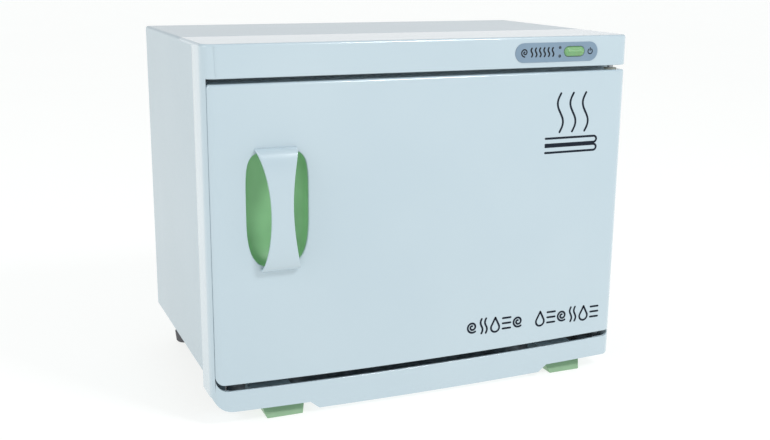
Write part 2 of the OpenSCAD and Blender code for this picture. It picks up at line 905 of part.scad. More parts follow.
module door_outer() {
    inner = door_wall;
    hinge_low = arch(hinge_x, door_low);
    color([0.80, 0.86, 0.90])
    difference() {
        union() {
            difference() {
                door_form(0, front_y, door_back);
                intersection() {
                    linear_extrude(case_h)
                        door_plan_hollow(inner);
                    upright(front_y + inner, door_back + 1)
                        door_outline(inner);
                }
            }
            // posts for the inner panel's screws, and bosses for the hinge bushes
            for (p = door_screw_spots)
                rod_y(p[0], p[1], 4, front_y + 1, door_back - 3);
            rod_z(hinge_x, hinge_y, bush_r + 2.5, hinge_low + 1, hinge_low + bush_len);
            rod_z(hinge_x, hinge_y, bush_r + 2.5, door_top - bush_len, door_top - 1);
        }
        upright(front_y - 1, front_y + inner + 1)
            cup_mouth(0);
        for (p = door_screw_spots)
            rod_y(p[0], p[1], screw_r + 0.1, door_back - 12, door_back);
        rod_z(hinge_x, hinge_y, bush_r, hinge_low - 2, hinge_low + bush_len + 1);
        rod_z(hinge_x, hinge_y, bush_flange_r + 0.1, door_low - 2, hinge_low);
        rod_z(hinge_x, hinge_y, bush_r, door_top - bush_len - 1, door_top + 2);
    }
}

// Plan of the door's hollow: as the door, but open at the back.
module door_plan_hollow(g) {
    rl = plan_r_left - 3 - g;
    rr = plan_r_right - g;
    polygon(concat(
        arc(door_left + g + rl, front_y + g + rl, rl, 180, 270, 8),
        arc(half_w - g - rr, front_y + g + rr, rr, 270, 360, 8),
        [[half_w - g, door_back - rr], [half_w - rr, door_back + 1], [door_left + g, door_back + 1]]));
}

module door_inner_panel() {
    color([0.86, 0.88, 0.90])
    difference() {
        upright(door_back - 3, door_back - 1)
            intersection() {
                door_outline(door_wall + 0.2);
                translate([-half_w, 0])
                    square([case_w - 12, case_h]);
            }
        for (p = door_screw_spots)
            rod_y(p[0], p[1], screw_r + 0.1, door_back - 4, door_back);
    }
}

door_screw_spots = [for (side = [-1, 1], z = [door_low + 36, handle_z, door_top - 26])
    [side * (chamber_half + 21.5), z]];

module door_insulation() {
    color([0.90, 0.88, 0.70])
    difference() {
        block([-chamber_half - 16, front_y + 5, arch(door_left, door_low) + 6],
            [chamber_half + 16, door_back - 3.2, door_top - 5]);
        block([handle_x - 38, front_y, handle_z - 66], [handle_x + 38, door_back, handle_z + 66]);
    }
}

module door_seal() {
    w = 10;
    out = chamber_half + 14;
    z0 = chamber_z - 12;
    z1 = chamber_top + 13;
    color([0.62, 0.65, 0.67])
    difference() {
        block([-out, door_back - 1, z0], [out, door_back + 1, z1]);
        block([-out + w, door_back - 2, z0 + w], [out - w, door_back + 2, z1 - w]);
    }
}

// The green finger cup behind the door's face: a rim and a bowl that narrows inwards.
module handle_cup() {
    rim_y = front_y + door_wall;
    wall = 1.6;
    color([0.43, 0.64, 0.45])
    difference() {
        union() {
            upright(rim_y, rim_y + 1.5)
                cup_mouth(-4);
            hull() {
                upright(rim_y, rim_y + 1)
                    cup_mouth(-wall);
                upright(rim_y + cup_d / 2, rim_y + cup_d / 2 + 1)
                    cup_mouth(2);
                upright(rim_y + cup_d + wall - 1, rim_y + cup_d + wall)
                    cup_mouth(14);
            }
        }
        hull() {
            upright(rim_y - 1, rim_y)
                cup_mouth(0);
            upright(rim_y + cup_d / 2 - 1, rim_y + cup_d / 2)
                cup_mouth(2 + wall);
            upright(rim_y + cup_d - 1, rim_y + cup_d)
                cup_mouth(14 + wall);
        }
    }
}

// How far the strap's outer face stands out at height t, from -1 to 1 over its length.
function bow(t, reach) = reach * pow(max(0, 1 - pow(abs(t), strap_bow)), 1 / strap_bow);

module handle_strap() {
    steps = 24;
    outer = [for (i = [0:steps]) let (t = -cos(180 * i / steps))
        [front_y - bow(t, strap_proud), handle_z + t * strap_half]];
    inner = [for (i = [0:steps]) let (t = cos(180 * i / steps))
        [front_y - bow(t, strap_proud - strap_t), handle_z + t * (strap_half - strap_t)]];
    color([0.86, 0.90, 0.93])
    intersection() {
        translate([handle_x - 40, 0, 0])
            rotate([90, 0, 90])
                linear_extrude(80)
                    polygon(concat(outer, inner));
        upright(front_y - strap_proud - 1, front_y)
            strap_outline();
    }
}

// The strap seen from the front: its two sides are hollow arcs.
module strap_outline() {
    side_angle = asin(strap_half / strap_waist_r);
    cx = strap_waist_w / 2 + strap_waist_r;
    polygon(concat(
        arc(handle_x + cx, handle_z, strap_waist_r, 180 + side_angle, 180 - side_angle, 16),
        arc(handle_x - cx, handle_z, strap_waist_r, side_angle, -side_angle, 16)));
}

module strike_plates() {
    color([0.72, 0.73, 0.75])
    for (side = [-1, 1])
        block([door_left + 5, door_back - 1, handle_z + side * catch_dz - 14],
            [door_left + 17, door_back + 0.2, handle_z + side * catch_dz + 14]);
}

module door_panel_screws() {
    color([0.68, 0.69, 0.71])
    for (p = door_screw_spots)
        translate([p[0], door_back - 1, p[1]])
            rotate([90, 0, 0]) {
                translate([0, 0, -0.8])
                    cylinder(r = head_r, h = 0.8);
                cylinder(r = screw_r, h = 8);
            }
}

outer_case();
rear_panel();
base_pan();
front_frame();
chamber_liner();
insulation();
bottom_heater();
back_heater();
thermostat();
thermal_fuse();
rack_runners();
upper_rack();
lower_rack();
drip_tray();
control_label();
switch_body();
control_board();
indicator_lamps();
wiring_loom();
terminal_block();
power_inlet();
catch_magnets();
hinge_bracket_top();
hinge_bracket_bottom();
hinge_pin_top();
hinge_pin_bottom();
front_foot_bracket_left();
front_foot_bracket_right();
front_foot_left();
front_foot_right();
rear_foot_left();
rear_foot_right();
foot_screws();
rear_panel_screws();
frame_screws();
hinge_screws();
door_outer();
door_inner_panel();
door_insulation();
door_seal();
handle_cup();
handle_strap();
strike_plates();
door_panel_screws();
hinge_bush_top();
hinge_bush_bottom();
power_button();
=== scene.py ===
"""Visible pieces, finishes and stage of a hot towel cabinet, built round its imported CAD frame."""

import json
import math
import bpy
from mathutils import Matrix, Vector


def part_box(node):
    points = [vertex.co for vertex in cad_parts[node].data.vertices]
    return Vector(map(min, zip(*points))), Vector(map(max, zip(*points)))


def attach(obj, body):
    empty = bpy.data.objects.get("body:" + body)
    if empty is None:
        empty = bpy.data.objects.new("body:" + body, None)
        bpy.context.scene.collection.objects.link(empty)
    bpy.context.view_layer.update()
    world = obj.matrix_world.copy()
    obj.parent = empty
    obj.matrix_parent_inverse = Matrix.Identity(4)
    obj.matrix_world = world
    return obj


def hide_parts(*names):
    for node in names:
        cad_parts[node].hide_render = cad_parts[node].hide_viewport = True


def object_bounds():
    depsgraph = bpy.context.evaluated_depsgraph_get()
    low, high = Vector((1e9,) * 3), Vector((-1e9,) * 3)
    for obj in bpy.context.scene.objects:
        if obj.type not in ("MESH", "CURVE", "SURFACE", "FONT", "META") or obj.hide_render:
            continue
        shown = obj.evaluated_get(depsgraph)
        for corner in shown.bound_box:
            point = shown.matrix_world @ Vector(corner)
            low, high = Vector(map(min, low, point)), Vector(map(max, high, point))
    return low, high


bl_info = {
    "name": "Hot towel cabinet",
    "version": (1, 0, 0),
    "blender": (4, 5, 0),
    "location": "3D View > Sidebar > Cabinet",
    "description": "Builds the visible pieces of a hot towel cabinet round its packed CAD frame",
    "category": "Object",
}

import bmesh
import bpy
from mathutils import Matrix, Vector

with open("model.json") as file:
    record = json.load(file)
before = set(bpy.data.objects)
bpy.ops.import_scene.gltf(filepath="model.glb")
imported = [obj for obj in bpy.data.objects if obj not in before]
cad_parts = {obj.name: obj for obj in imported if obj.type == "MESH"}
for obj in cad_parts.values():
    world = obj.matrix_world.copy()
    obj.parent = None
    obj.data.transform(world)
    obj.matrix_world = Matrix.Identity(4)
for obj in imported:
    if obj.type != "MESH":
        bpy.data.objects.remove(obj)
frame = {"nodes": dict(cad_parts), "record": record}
CAD_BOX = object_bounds()
MM = 0.001

# Places that the pieces share, in metres; all but the corner's radius are read from the frame.
FRAME_LOW, FRAME_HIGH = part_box("front_frame")
DOOR_LOW, DOOR_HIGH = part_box("door_outer")
CASE_LOW, CASE_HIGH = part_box("outer_case")
FRONT = DOOR_LOW.y
FRAME_BEND = 12 * MM  # plan radius of the front frame's left corner
TOP = FRAME_HIGH.z
HALF = FRAME_HIGH.x


def centre(node):
    """The middle of a CAD node's box."""
    low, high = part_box(node)
    return (low + high) / 2


# ---------------------------------------------------------------- colours and nodes


def linear(code):
    """An sRGB hex colour as linear red, green and blue."""
    values = [int(code[i : i + 2], 16) / 255 for i in (1, 3, 5)]
    return tuple(v / 12.92 if v <= 0.04045 else ((v + 0.055) / 1.055) ** 2.4 for v in values)


def add(tree, kind, inputs=None, **settings):
    """Adds a node with its settings; an input's value may be another node's socket."""
    node = tree.nodes.new(kind)
    for key, value in settings.items():
        setattr(node, key, value)
    for key, value in (inputs or {}).items():
        if isinstance(value, bpy.types.NodeSocket):
            tree.links.new(value, node.inputs[key])
        else:
            node.inputs[key].default_value = value
    return node


def finish(name, colours, tone_mm, grain_mm, height_mm, roughness, spread, stretch=(1, 1, 1),
           shader=None, grain="noise", detail=3.0):
    """A procedural finish on Object coordinates.

    colours are the two ends of a slow drift over tone_mm. grain_mm and height_mm are the width and
    height of the surface's grain, and spread is how far the roughness strays with it.
    """
    colour, shade = [linear(c) if isinstance(c, str) else c for c in colours]
    material = bpy.data.materials.new(name)
    material.use_nodes = True
    tree = material.node_tree
    tree.nodes.clear()
    where = add(tree, "ShaderNodeTexCoord").outputs["Object"]
    along = add(tree, "ShaderNodeMapping", {"Vector": where, "Scale": stretch}).outputs["Vector"]
    drift = add(tree, "ShaderNodeTexNoise", {"Vector": where, "Scale": 1 / (tone_mm * MM), "Detail": 2.0})
    if grain == "cells":
        pattern = add(tree, "ShaderNodeTexVoronoi", {"Vector": along, "Scale": 1 / (grain_mm * MM)})
        relief = pattern.outputs["Distance"]
    else:
        pattern = add(tree, "ShaderNodeTexNoise",
                      {"Vector": along, "Scale": 1 / (grain_mm * MM), "Detail": detail, "Roughness": 0.55})
        relief = pattern.outputs["Fac"]
    paint = add(tree, "ShaderNodeValToRGB", {"Fac": drift.outputs["Fac"]})
    for stop, position, value in zip(paint.color_ramp.elements, (0.3, 0.7), (shade, colour)):
        stop.position, stop.color = position, (*value, 1)
    gloss = add(tree, "ShaderNodeMapRange",
                {"Value": relief, "To Min": roughness - spread, "To Max": roughness + spread})
    bump = add(tree, "ShaderNodeBump", {"Height": relief, "Strength": 1.0, "Distance": height_mm * MM})
    surface = add(tree, "ShaderNodeBsdfPrincipled",
                  {"Base Color": paint.outputs["Color"], "Roughness": gloss.outputs["Result"],
                   "Normal": bump.outputs["Normal"], **(shader or {})})
    add(tree, "ShaderNodeOutputMaterial", {"Surface": surface.outputs["BSDF"]})
    material.diffuse_color = (*colour, 1)


def make_finishes(colours):
    """Makes all the finishes."""
    # Injection moulded gloss ABS: a hard even white with a faint waviness that softens highlights.
    finish("gloss_white_abs", (colours.gloss_white, colours.gloss_white_shade), 180, 7, 0.006, 0.22, 0.03,
           shader={"IOR": 1.53, "Coat Weight": 0.7, "Coat Roughness": 0.04})
    # Powder coat on sheet steel: orange peel a couple of millimetres across, a little less glossy.
    finish("powder_coated_steel", (colours.coat_white, colours.coat_white_shade), 150, 2.6, 0.012, 0.30,
           0.05, shader={"IOR": 1.5, "Coat Weight": 0.4, "Coat Roughness": 0.09})
    # The moulded cup is satin, with a spark-eroded grain.
    finish("satin_green_abs", (colours.cup_green, colours.cup_green_shade), 35, 0.9, 0.03, 0.46, 0.06,
           shader={"IOR": 1.53})
    # Feet in soft-touch moulded plastic, paler and smoother than the cup.
    finish("foot_green_plastic", (colours.foot_green, colours.foot_green_shade), 22, 1.4, 0.015, 0.38, 0.05,
           shader={"IOR": 1.5})
    # The button's cap is polished and slightly translucent, which brightens its edges.
    finish("button_green_plastic", (colours.button_green, colours.button_green_shade), 12, 3, 0.006, 0.26,
           0.03, shader={"IOR": 1.5, "Subsurface Weight": 0.15, "Subsurface Scale": 0.003})
    # Galvanised sheet: dull zinc with crystals about 6 mm across.
    finish("galvanised_steel", ("#8E949A", "#74797F"), 6, 6, 0.01, 0.48, 0.12,
           shader={"Metallic": 1.0}, grain="cells")
    # Anodised aluminium sheet, brushed along the chamber's depth.
    finish("anodised_aluminium", ("#C9CCCF", "#B4B8BC"), 60, 0.5, 0.012, 0.34, 0.08,
           stretch=(1, 0.03, 1), shader={"Metallic": 1.0, "Anisotropic": 0.4})
    # Electropolished stainless wire: bright, with faint draw lines.
    finish("polished_stainless_wire", ("#D8DADC", "#C2C5C9"), 25, 0.4, 0.006, 0.16, 0.05,
           stretch=(1, 0.05, 1), shader={"Metallic": 1.0})
    # Glass wool mat: matted fibres, all roughness.
    finish("glass_wool", ("#E4D592", "#C9B568"), 18, 1.2, 0.6, 0.95, 0.04,
           stretch=(1, 0.25, 1), shader={"Sheen Weight": 0.3}, detail=8.0)
    # Closed-cell foam board: tiny rounded cells.
    finish("closed_cell_foam", ("#EEE8CC", "#DDD4AE"), 40, 1.1, 0.12, 0.88, 0.05, grain="cells")
    # Pressed mica heater sheet: flaky, slightly glittering.
    finish("mica_sheet", ("#B09A6C", "#8E7A50"), 9, 2.2, 0.05, 0.42, 0.16, grain="cells")
    # Glass-filled nylon for the socket and the switch: fine matt texture.
    finish("black_nylon", ("#232427", "#191A1C"), 20, 0.5, 0.02, 0.52, 0.07, shader={"IOR": 1.53})
    # Unfilled nylon, ivory: waxy.
    finish("ivory_nylon", ("#E6E0CE", "#D8D0BA"), 16, 1.0, 0.01, 0.40, 0.05,
           shader={"IOR": 1.53, "Subsurface Weight": 0.1, "Subsurface Scale": 0.002})
    # Epoxy glass board under green solder mask: the weave shows as a fine relief.
    finish("solder_mask", ("#2C6B3F", "#1F5230"), 7, 0.8, 0.02, 0.30, 0.06, grain="cells")
    # Reverse-printed polycarbonate film: slate blue with an even satin surface.
    finish("printed_film", (colours.label_slate, colours.label_slate_shade), 40, 0.6, 0.008, 0.34, 0.03,
           shader={"IOR": 1.58})
    # Smoked acrylic lens over an unlit lamp.
    finish("smoked_acrylic", ("#33424F", "#263440"), 3, 2, 0.004, 0.14, 0.02,
           shader={"IOR": 1.49, "Coat Weight": 0.5})
    # Natural rubber, moulded matt.
    finish("black_rubber", ("#1D1D1F", "#141415"), 14, 0.8, 0.04, 0.72, 0.08)
    # Silicone seal: soft grey with a dry sheen.
    finish("silicone_seal", ("#A4AAAE", "#949B9F"), 45, 1.6, 0.03, 0.58, 0.06,
           shader={"IOR": 1.41, "Sheen Weight": 0.15})
    # Zinc-plated turned steel: fine lathe marks.
    finish("zinc_plated_screw", ("#B3B5B8", "#999CA0"), 4, 0.35, 0.01, 0.30, 0.10,
           shader={"Metallic": 1.0})
    # Nickel-plated brass contact pins.
    finish("nickel_plate", ("#C9C4B8", "#B0AA9C"), 5, 0.4, 0.006, 0.22, 0.06, shader={"Metallic": 1.0})
    # Screen-printed ink: a matt skin with slightly uneven cover.
    finish("door_ink", (colours.ink, colours.ink_shade), 9, 0.5, 0.01, 0.50, 0.08,
           shader={"Specular IOR Level": 0.25})
    finish("label_ink", ("#0B1015", "#11171C"), 5, 0.4, 0.008, 0.45, 0.06,
           shader={"Specular IOR Level": 0.3})


# Which finish each material slot of the record shows.
SLOT_FINISH = {
    "white_abs": "gloss_white_abs",
    "white_steel": "powder_coated_steel",
    "zinc_steel": "galvanised_steel",
    "green_abs": "satin_green_abs",
    "green_foot": "foot_green_plastic",
    "aluminium_liner": "anodised_aluminium",
    "stainless_wire": "polished_stainless_wire",
    "wool": "glass_wool",
    "foam": "closed_cell_foam",
    "mica": "mica_sheet",
    "black_plastic": "black_nylon",
    "ivory_plastic": "ivory_nylon",
    "circuit_board": "solder_mask",
    "label": "printed_film",
    "lamp": "smoked_acrylic",
    "black_rubber": "black_rubber",
    "grey_seal": "silicone_seal",
    "screw_steel": "zinc_plated_screw",
}


# ---------------------------------------------------------------- mesh tools


def new_object(name, mesh):
    """A mesh as an object of the scene."""
    piece = bpy.data.objects.new(name, mesh)
    bpy.context.scene.collection.objects.link(piece)
    return piece


def from_bmesh(name, shape, outward=True):
    """A bmesh as an object, with its faces turned outwards."""
    if outward:
        bmesh.ops.recalc_face_normals(shape, faces=shape.faces)
    mesh = bpy.data.meshes.new(name)
    shape.to_mesh(mesh)
    shape.free()
    return new_object(name, mesh)


def bake(piece):
    """Applies every modifier, so that the piece is a plain mesh."""
    depsgraph = bpy.context.evaluated_depsgraph_get()
    mesh = bpy.data.meshes.new_from_object(piece.evaluated_get(depsgraph), depsgraph=depsgraph)
    old = piece.data
    piece.modifiers.clear()
    piece.data = mesh
    bpy.data.meshes.remove(old)
    mesh.name = piece.name
    return piece


def smooth(piece, sharp_deg=44):
    """Smooth shading that breaks at sharp edges and leaves large flat faces flat."""
    piece.data.shade_smooth()
    piece.data.set_sharp_from_angle(angle=math.radians(sharp_deg))
    weights = piece.modifiers.new("normals", "WEIGHTED_NORMAL")
    weights.keep_sharp = True
    return bake(piece)


def round_edges(piece, width, segments=3, angle_deg=32, weight=None, shortest=0.9 * MM):
    """Rounds the sharp edges; weight(middle, along) is an edge's share of the width.

    Edges below the shortest length are left alone: they are the facets of small drilled holes.
    """
    shape = bmesh.new()
    shape.from_mesh(piece.data)
    share = shape.edges.layers.float.get("bevel_weight_edge")
    share = share or shape.edges.layers.float.new("bevel_weight_edge")
    for edge in shape.edges:
        sharp = (len(edge.link_faces) == 2 and edge.calc_face_angle(0) > math.radians(angle_deg)
                 and edge.calc_length() > shortest)
        middle = (edge.verts[0].co + edge.verts[1].co) / 2
        along = (edge.verts[1].co - edge.verts[0].co).normalized()
        edge[share] = (weight(middle, along) if weight else 1.0) if sharp else 0.0
    shape.to_mesh(piece.data)
    shape.free()
    bevel = piece.modifiers.new("edges", "BEVEL")
    bevel.limit_method = "WEIGHT"
    bevel.width = width
    bevel.segments = segments
    bevel.use_clamp_overlap = False
    return bake(piece)


def cad_copy(name, node):
    """A merged copy of a CAD node's mesh with its flat faces joined, ready for edge rounding."""
    shape = bmesh.new()
    shape.from_mesh(frame["nodes"][node].data)
    bmesh.ops.remove_doubles(shape, verts=shape.verts, dist=0.002 * MM)
    bmesh.ops.dissolve_limit(shape, angle_limit=math.radians(0.04), verts=shape.verts, edges=shape.edges)
    bmesh.ops.connect_verts_concave(shape, faces=shape.faces)
    return from_bmesh(name, shape, outward=False)


def skin(shape, rows):
    """Faces between neighbouring rows of vertices, each row a closed ring."""
    for one, two in zip(rows, rows[1:]):
        for i in range(len(one)):
            j = (i + 1) % len(one)
            shape.faces.new((one[i], one[j], two[j], two[i]))


def loft(name, rings, loop=False):
    """Skins rings of equal length and closes the ends; loop joins the last ring to the first."""
    shape = bmesh.new()
    rows = [[shape.verts.new(p) for p in ring] for ring in rings]
    skin(shape, rows + rows[:1] if loop else rows)
    if not loop:
        shape.faces.new(rows[0])
        shape.faces.new(reversed(rows[-1]))
    return from_bmesh(name, shape)


def rounded(a0, a1, b0, b1, radius, steps=6):
    """A rounded rectangle's outline as pairs, starting at the lower right corner."""
    radius = min(radius, (a1 - a0) / 2, (b1 - b0) / 2)
    corners = ((a1 - radius, b0 + radius, -90), (a1 - radius, b1 - radius, 0),
               (a0 + radius, b1 - radius, 90), (a0 + radius, b0 + radius, 180))
    points = []
    for a, b, start in corners:
        for i in range(steps + 1):
            turn = math.radians(start + 90 * i / steps)
            points.append((a + radius * math.cos(turn), b + radius * math.sin(turn)))
    return points


def upright(points, y):
    """Pairs as points in the plane at depth y."""
    return [Vector((a, y, b)) for a, b in points]


def level(points, z):
    """Pairs as points in the plane at height z."""
    return [Vector((a, b, z)) for a, b in points]


def plate(low, high, inset, y, radius, steps=6):
    """A box's front outline, drawn in by inset and with round corners, at depth y."""
    return upright(rounded(low.x + inset, high.x - inset, low.z + inset, high.z - inset, radius, steps), y)


def circle(steps):
    """Angles once round."""
    return [2 * math.pi * i / steps for i in range(steps)]


def quarter(steps):
    """Sine and cosine of even steps from 0 to 90 degrees."""
    turns = [math.radians(90 * i / steps) for i in range(steps + 1)]
    return [(math.sin(t), math.cos(t)) for t in turns]


def turned(name, profile, base, axis, steps=32):
    """A turned part: profile is [(radius, distance along the axis)], closed at both ends."""
    toward = Vector(axis).normalized()
    side = toward.orthogonal().normalized()
    other = toward.cross(side)
    rings = []
    for radius, reach in profile:
        rings.append([base + toward * reach + radius * (side * math.cos(t) + other * math.sin(t))
                      for t in circle(steps)])
    return loft(name, rings)


def cut(piece, cutter):
    """Cuts another object out of the piece; the cutter is used up."""
    knife = piece.modifiers.new("cut", "BOOLEAN")
    knife.operation = "DIFFERENCE"
    knife.solver = "EXACT"
    knife.object = cutter
    bake(piece)
    bpy.data.objects.remove(cutter)


def join(name, pieces):
    """Several objects as one mesh."""
    shape = bmesh.new()
    for piece in pieces:
        shape.from_mesh(piece.data)
        bpy.data.objects.remove(piece)
    return from_bmesh(name, shape, outward=False)


def dress(piece, body, finish_name, slot=None, stands_for=()):
    """Gives a finished piece its material and its body, and hides the CAD nodes that it stands for; slot is
    not used.
    """
    piece.data.materials.clear()
    piece.data.materials.append(bpy.data.materials[finish_name])
    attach(piece, body)
    if stands_for:
        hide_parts(*stands_for)


# ---------------------------------------------------------------- geometry node tools


def new_tree(name, sockets):
    """A geometry node tree with named inputs; returns it with its input and output nodes."""
    tree = bpy.data.node_groups.new(name, "GeometryNodeTree")
    tree.interface.new_socket("Geometry", in_out="INPUT", socket_type="NodeSocketGeometry")
    for label, kind in sockets.items():
        tree.interface.new_socket(label, in_out="INPUT", socket_type="NodeSocket" + kind)
    tree.interface.new_socket("Geometry", in_out="OUTPUT", socket_type="NodeSocketGeometry")
    return tree, add(tree, "NodeGroupInput"), add(tree, "NodeGroupOutput")


def end_tree(tree, source, exit_node, geometry):
    """Ends a tree in Realize Instances and Set Material."""
    real = add(tree, "GeometryNodeRealizeInstances", {"Geometry": geometry})
    done = add(tree, "GeometryNodeSetMaterial",
               {"Geometry": real.outputs["Geometry"], "Material": source.outputs["Material"]})
    tree.links.new(done.outputs["Geometry"], exit_node.inputs["Geometry"])


def grow(piece, tree, values):
    """Runs a tree on a piece with these inputs and keeps the result as a plain mesh."""
    growth = piece.modifiers.new("growth", "NODES")
    growth.node_group = tree
    for item in tree.interface.items_tree:
        if item.in_out == "INPUT" and item.name in values:
            growth[item.identifier] = values[item.name]
    return bake(piece)


def maths(tree, operation, one, other):
    """The result of a sum on two numbers or sockets."""
    return add(tree, "ShaderNodeMath", {0: one, 1: other}, operation=operation).outputs[0]


def vector(tree, **parts):
    """A vector from its X, Y and Z sockets."""
    return add(tree, "ShaderNodeCombineXYZ", parts).outputs["Vector"]


def bar(tree, curve, radius, sides):
    """A curve as a round bar with closed ends."""
    profile = add(tree, "GeometryNodeCurvePrimitiveCircle", {"Radius": radius, "Resolution": sides})
    swept = add(tree, "GeometryNodeCurveToMesh",
                {"Curve": curve, "Profile Curve": profile.outputs["Curve"], "Fill Caps": True})
    return swept.outputs["Mesh"]


def spots(name, places):
    """A mesh of loose points, one for each place."""
    mesh = bpy.data.meshes.new(name)
    mesh.from_pydata([tuple(p) for p in places], [], [])
    return new_object(name, mesh)


def copies_tree():
    """Sets a copy of one part at every point of the mesh."""
    name = "copies at points"
    if name in bpy.data.node_groups:
        return bpy.data.node_groups[name]
    tree, source, exit_node = new_tree(name, {"Part": "Object", "Turn": "Vector", "Material": "Material"})
    part = add(tree, "GeometryNodeObjectInfo", {"Object": source.outputs["Part"]})
    turn = add(tree, "FunctionNodeEulerToRotation", {"Euler": source.outputs["Turn"]})
    put = add(tree, "GeometryNodeInstanceOnPoints",
              {"Points": source.outputs["Geometry"], "Instance": part.outputs["Geometry"],
               "Rotation": turn.outputs["Rotation"]})
    end_tree(tree, source, exit_node, put.outputs["Instances"])
    return tree


def copies(name, places, part, turn, finish_name):
    """One mesh holding a copy of part at each place, turned by these angles; the part is used up."""
    piece = spots(name, places)
    grow(piece, copies_tree(), {"Part": part, "Turn": turn, "Material": bpy.data.materials[finish_name]})
    bpy.data.objects.remove(part)
    return piece


def rack_tree():
    """A wire rack: a rounded frame of thick wire with cross wires welded on top of it."""
    tree, source, exit_node = new_tree(
        "wire rack", {"Width": "Float", "Depth": "Float", "Corner": "Float", "Frame wire": "Float",
                      "Cross wire": "Float", "Cross wires": "Int", "Margin": "Float", "Lift": "Float",
                      "Material": "Material"})
    inp = source.outputs
    outline = add(tree, "GeometryNodeCurvePrimitiveQuadrilateral",
                  {"Width": inp["Width"], "Height": inp["Depth"]})
    bent = add(tree, "GeometryNodeFilletCurve",
               {"Curve": outline.outputs["Curve"], "Radius": inp["Corner"], "Count": 6,
                "Limit Radius": True}, mode="POLY")
    border = bar(tree, bent.outputs["Curve"], inp["Frame wire"], 14)
    # cross wires, evenly spaced between the margins
    first = maths(tree, "SUBTRACT", inp["Margin"], maths(tree, "MULTIPLY", inp["Width"], 0.5))
    last = maths(tree, "MULTIPLY", first, -1.0)
    row = add(tree, "GeometryNodeMeshLine",
              {"Count": inp["Cross wires"], "Start Location": vector(tree, X=first, Z=inp["Lift"]),
               "Offset": vector(tree, X=last, Z=inp["Lift"])}, mode="END_POINTS")
    far = maths(tree, "MULTIPLY", inp["Depth"], 0.5)
    near = maths(tree, "MULTIPLY", far, -1.0)
    wire = add(tree, "GeometryNodeCurvePrimitiveLine",
               {"Start": vector(tree, Y=near), "End": vector(tree, Y=far)})
    rods = add(tree, "GeometryNodeInstanceOnPoints",
               {"Points": row.outputs["Mesh"],
                "Instance": bar(tree, wire.outputs["Curve"], inp["Cross wire"], 12)})
    both = add(tree, "GeometryNodeJoinGeometry")
    tree.links.new(border, both.inputs["Geometry"])
    tree.links.new(rods.outputs["Instances"], both.inputs["Geometry"])
    end_tree(tree, source, exit_node, both.outputs["Geometry"])
    return tree


def slots_tree():
    """Cuts rows of round-ended cooling slots through a sheet."""
    tree, source, exit_node = new_tree(
        "cooling slots", {"Cutter": "Object", "Count": "Int", "Pitch": "Float", "Row centres": "Float",
                          "Height": "Float", "Depth": "Float", "Material": "Material"})
    inp = source.outputs
    cutter = add(tree, "GeometryNodeObjectInfo", {"Object": inp["Cutter"]})
    span = maths(tree, "MULTIPLY", maths(tree, "SUBTRACT", inp["Count"], 1.0), inp["Pitch"])
    half = maths(tree, "MULTIPLY", span, 0.5)
    solid = inp["Geometry"]
    for side in (-1.0, 1.0):
        first = maths(tree, "SUBTRACT", maths(tree, "MULTIPLY", inp["Row centres"], side), half)
        row = add(tree, "GeometryNodeMeshLine",
                  {"Count": inp["Count"], "Offset": vector(tree, X=inp["Pitch"]),
                   "Start Location": vector(tree, X=first, Y=inp["Depth"], Z=inp["Height"])}, mode="OFFSET")
        put = add(tree, "GeometryNodeInstanceOnPoints",
                  {"Points": row.outputs["Mesh"], "Instance": cutter.outputs["Geometry"]})
        knives = add(tree, "GeometryNodeRealizeInstances", {"Geometry": put.outputs["Instances"]})
        hole = add(tree, "GeometryNodeMeshBoolean", {"Mesh 1": solid, "Mesh 2": knives.outputs["Geometry"]},
                   operation="DIFFERENCE", solver="EXACT")
        solid = hole.outputs["Mesh"]
    end_tree(tree, source, exit_node, solid)
    return tree


# ---------------------------------------------------------------- sizes and colours


def length(name, description, default, low, high):
    """A setting for a length, given in millimetres."""
    return bpy.props.FloatProperty(name=name, description=description, default=default * MM, min=low * MM,
                                   max=high * MM, unit="LENGTH", subtype="DISTANCE")


def colour(name, description, code):
    """A setting for a colour, given as an sRGB hex code."""
    return bpy.props.FloatVectorProperty(name=name, description=description, subtype="COLOR", size=3,
                                         default=linear(code), min=0, max=1)


def amount(name, description, default, low, high):
    """A setting for a plain number."""
    return bpy.props.FloatProperty(name=name, description=description, default=default, min=low, max=high)


class CabinetSizes(bpy.types.PropertyGroup):
    """Sizes of the visible details that the CAD frame leaves sharp or plain."""

    fascia_edge: length("Fascia edge", "Radius of the front frame's upper edge", 2.6, 0.5, 4)
    frame_edge: length("Frame edge", "Radius of the front frame's other outer edges", 1.0, 0.2, 1.6)
    door_top_edge: length("Door top edge", "Radius of the door's upper front edge", 2.8, 0.5, 4)
    door_edge: length("Door edge", "Radius of the door's other front edges", 1.2, 0.2, 2)
    mouth_lip: length("Cup mouth lip", "Radius of the lip round the finger cup's mouth", 1.2, 0.3, 1.8)
    sheet_edge: length("Sheet edge", "Radius worn on the edges of sheet metal", 0.3, 0.1, 0.45)
    strap_edge: length("Handle edge", "Radius of the handle strap's long edges", 0.9, 0.3, 1.4)
    strap_waist: length("Handle waist", "Width of the handle strap at its middle", 21.6, 15, 30)
    rack_wires: bpy.props.IntProperty(
        name="Rack wires", description="Number of cross wires in each rack", default=15, min=7, max=31)
    screw_head: length("Screw head", "Radius of the screws' heads", 3.6, 2, 5)


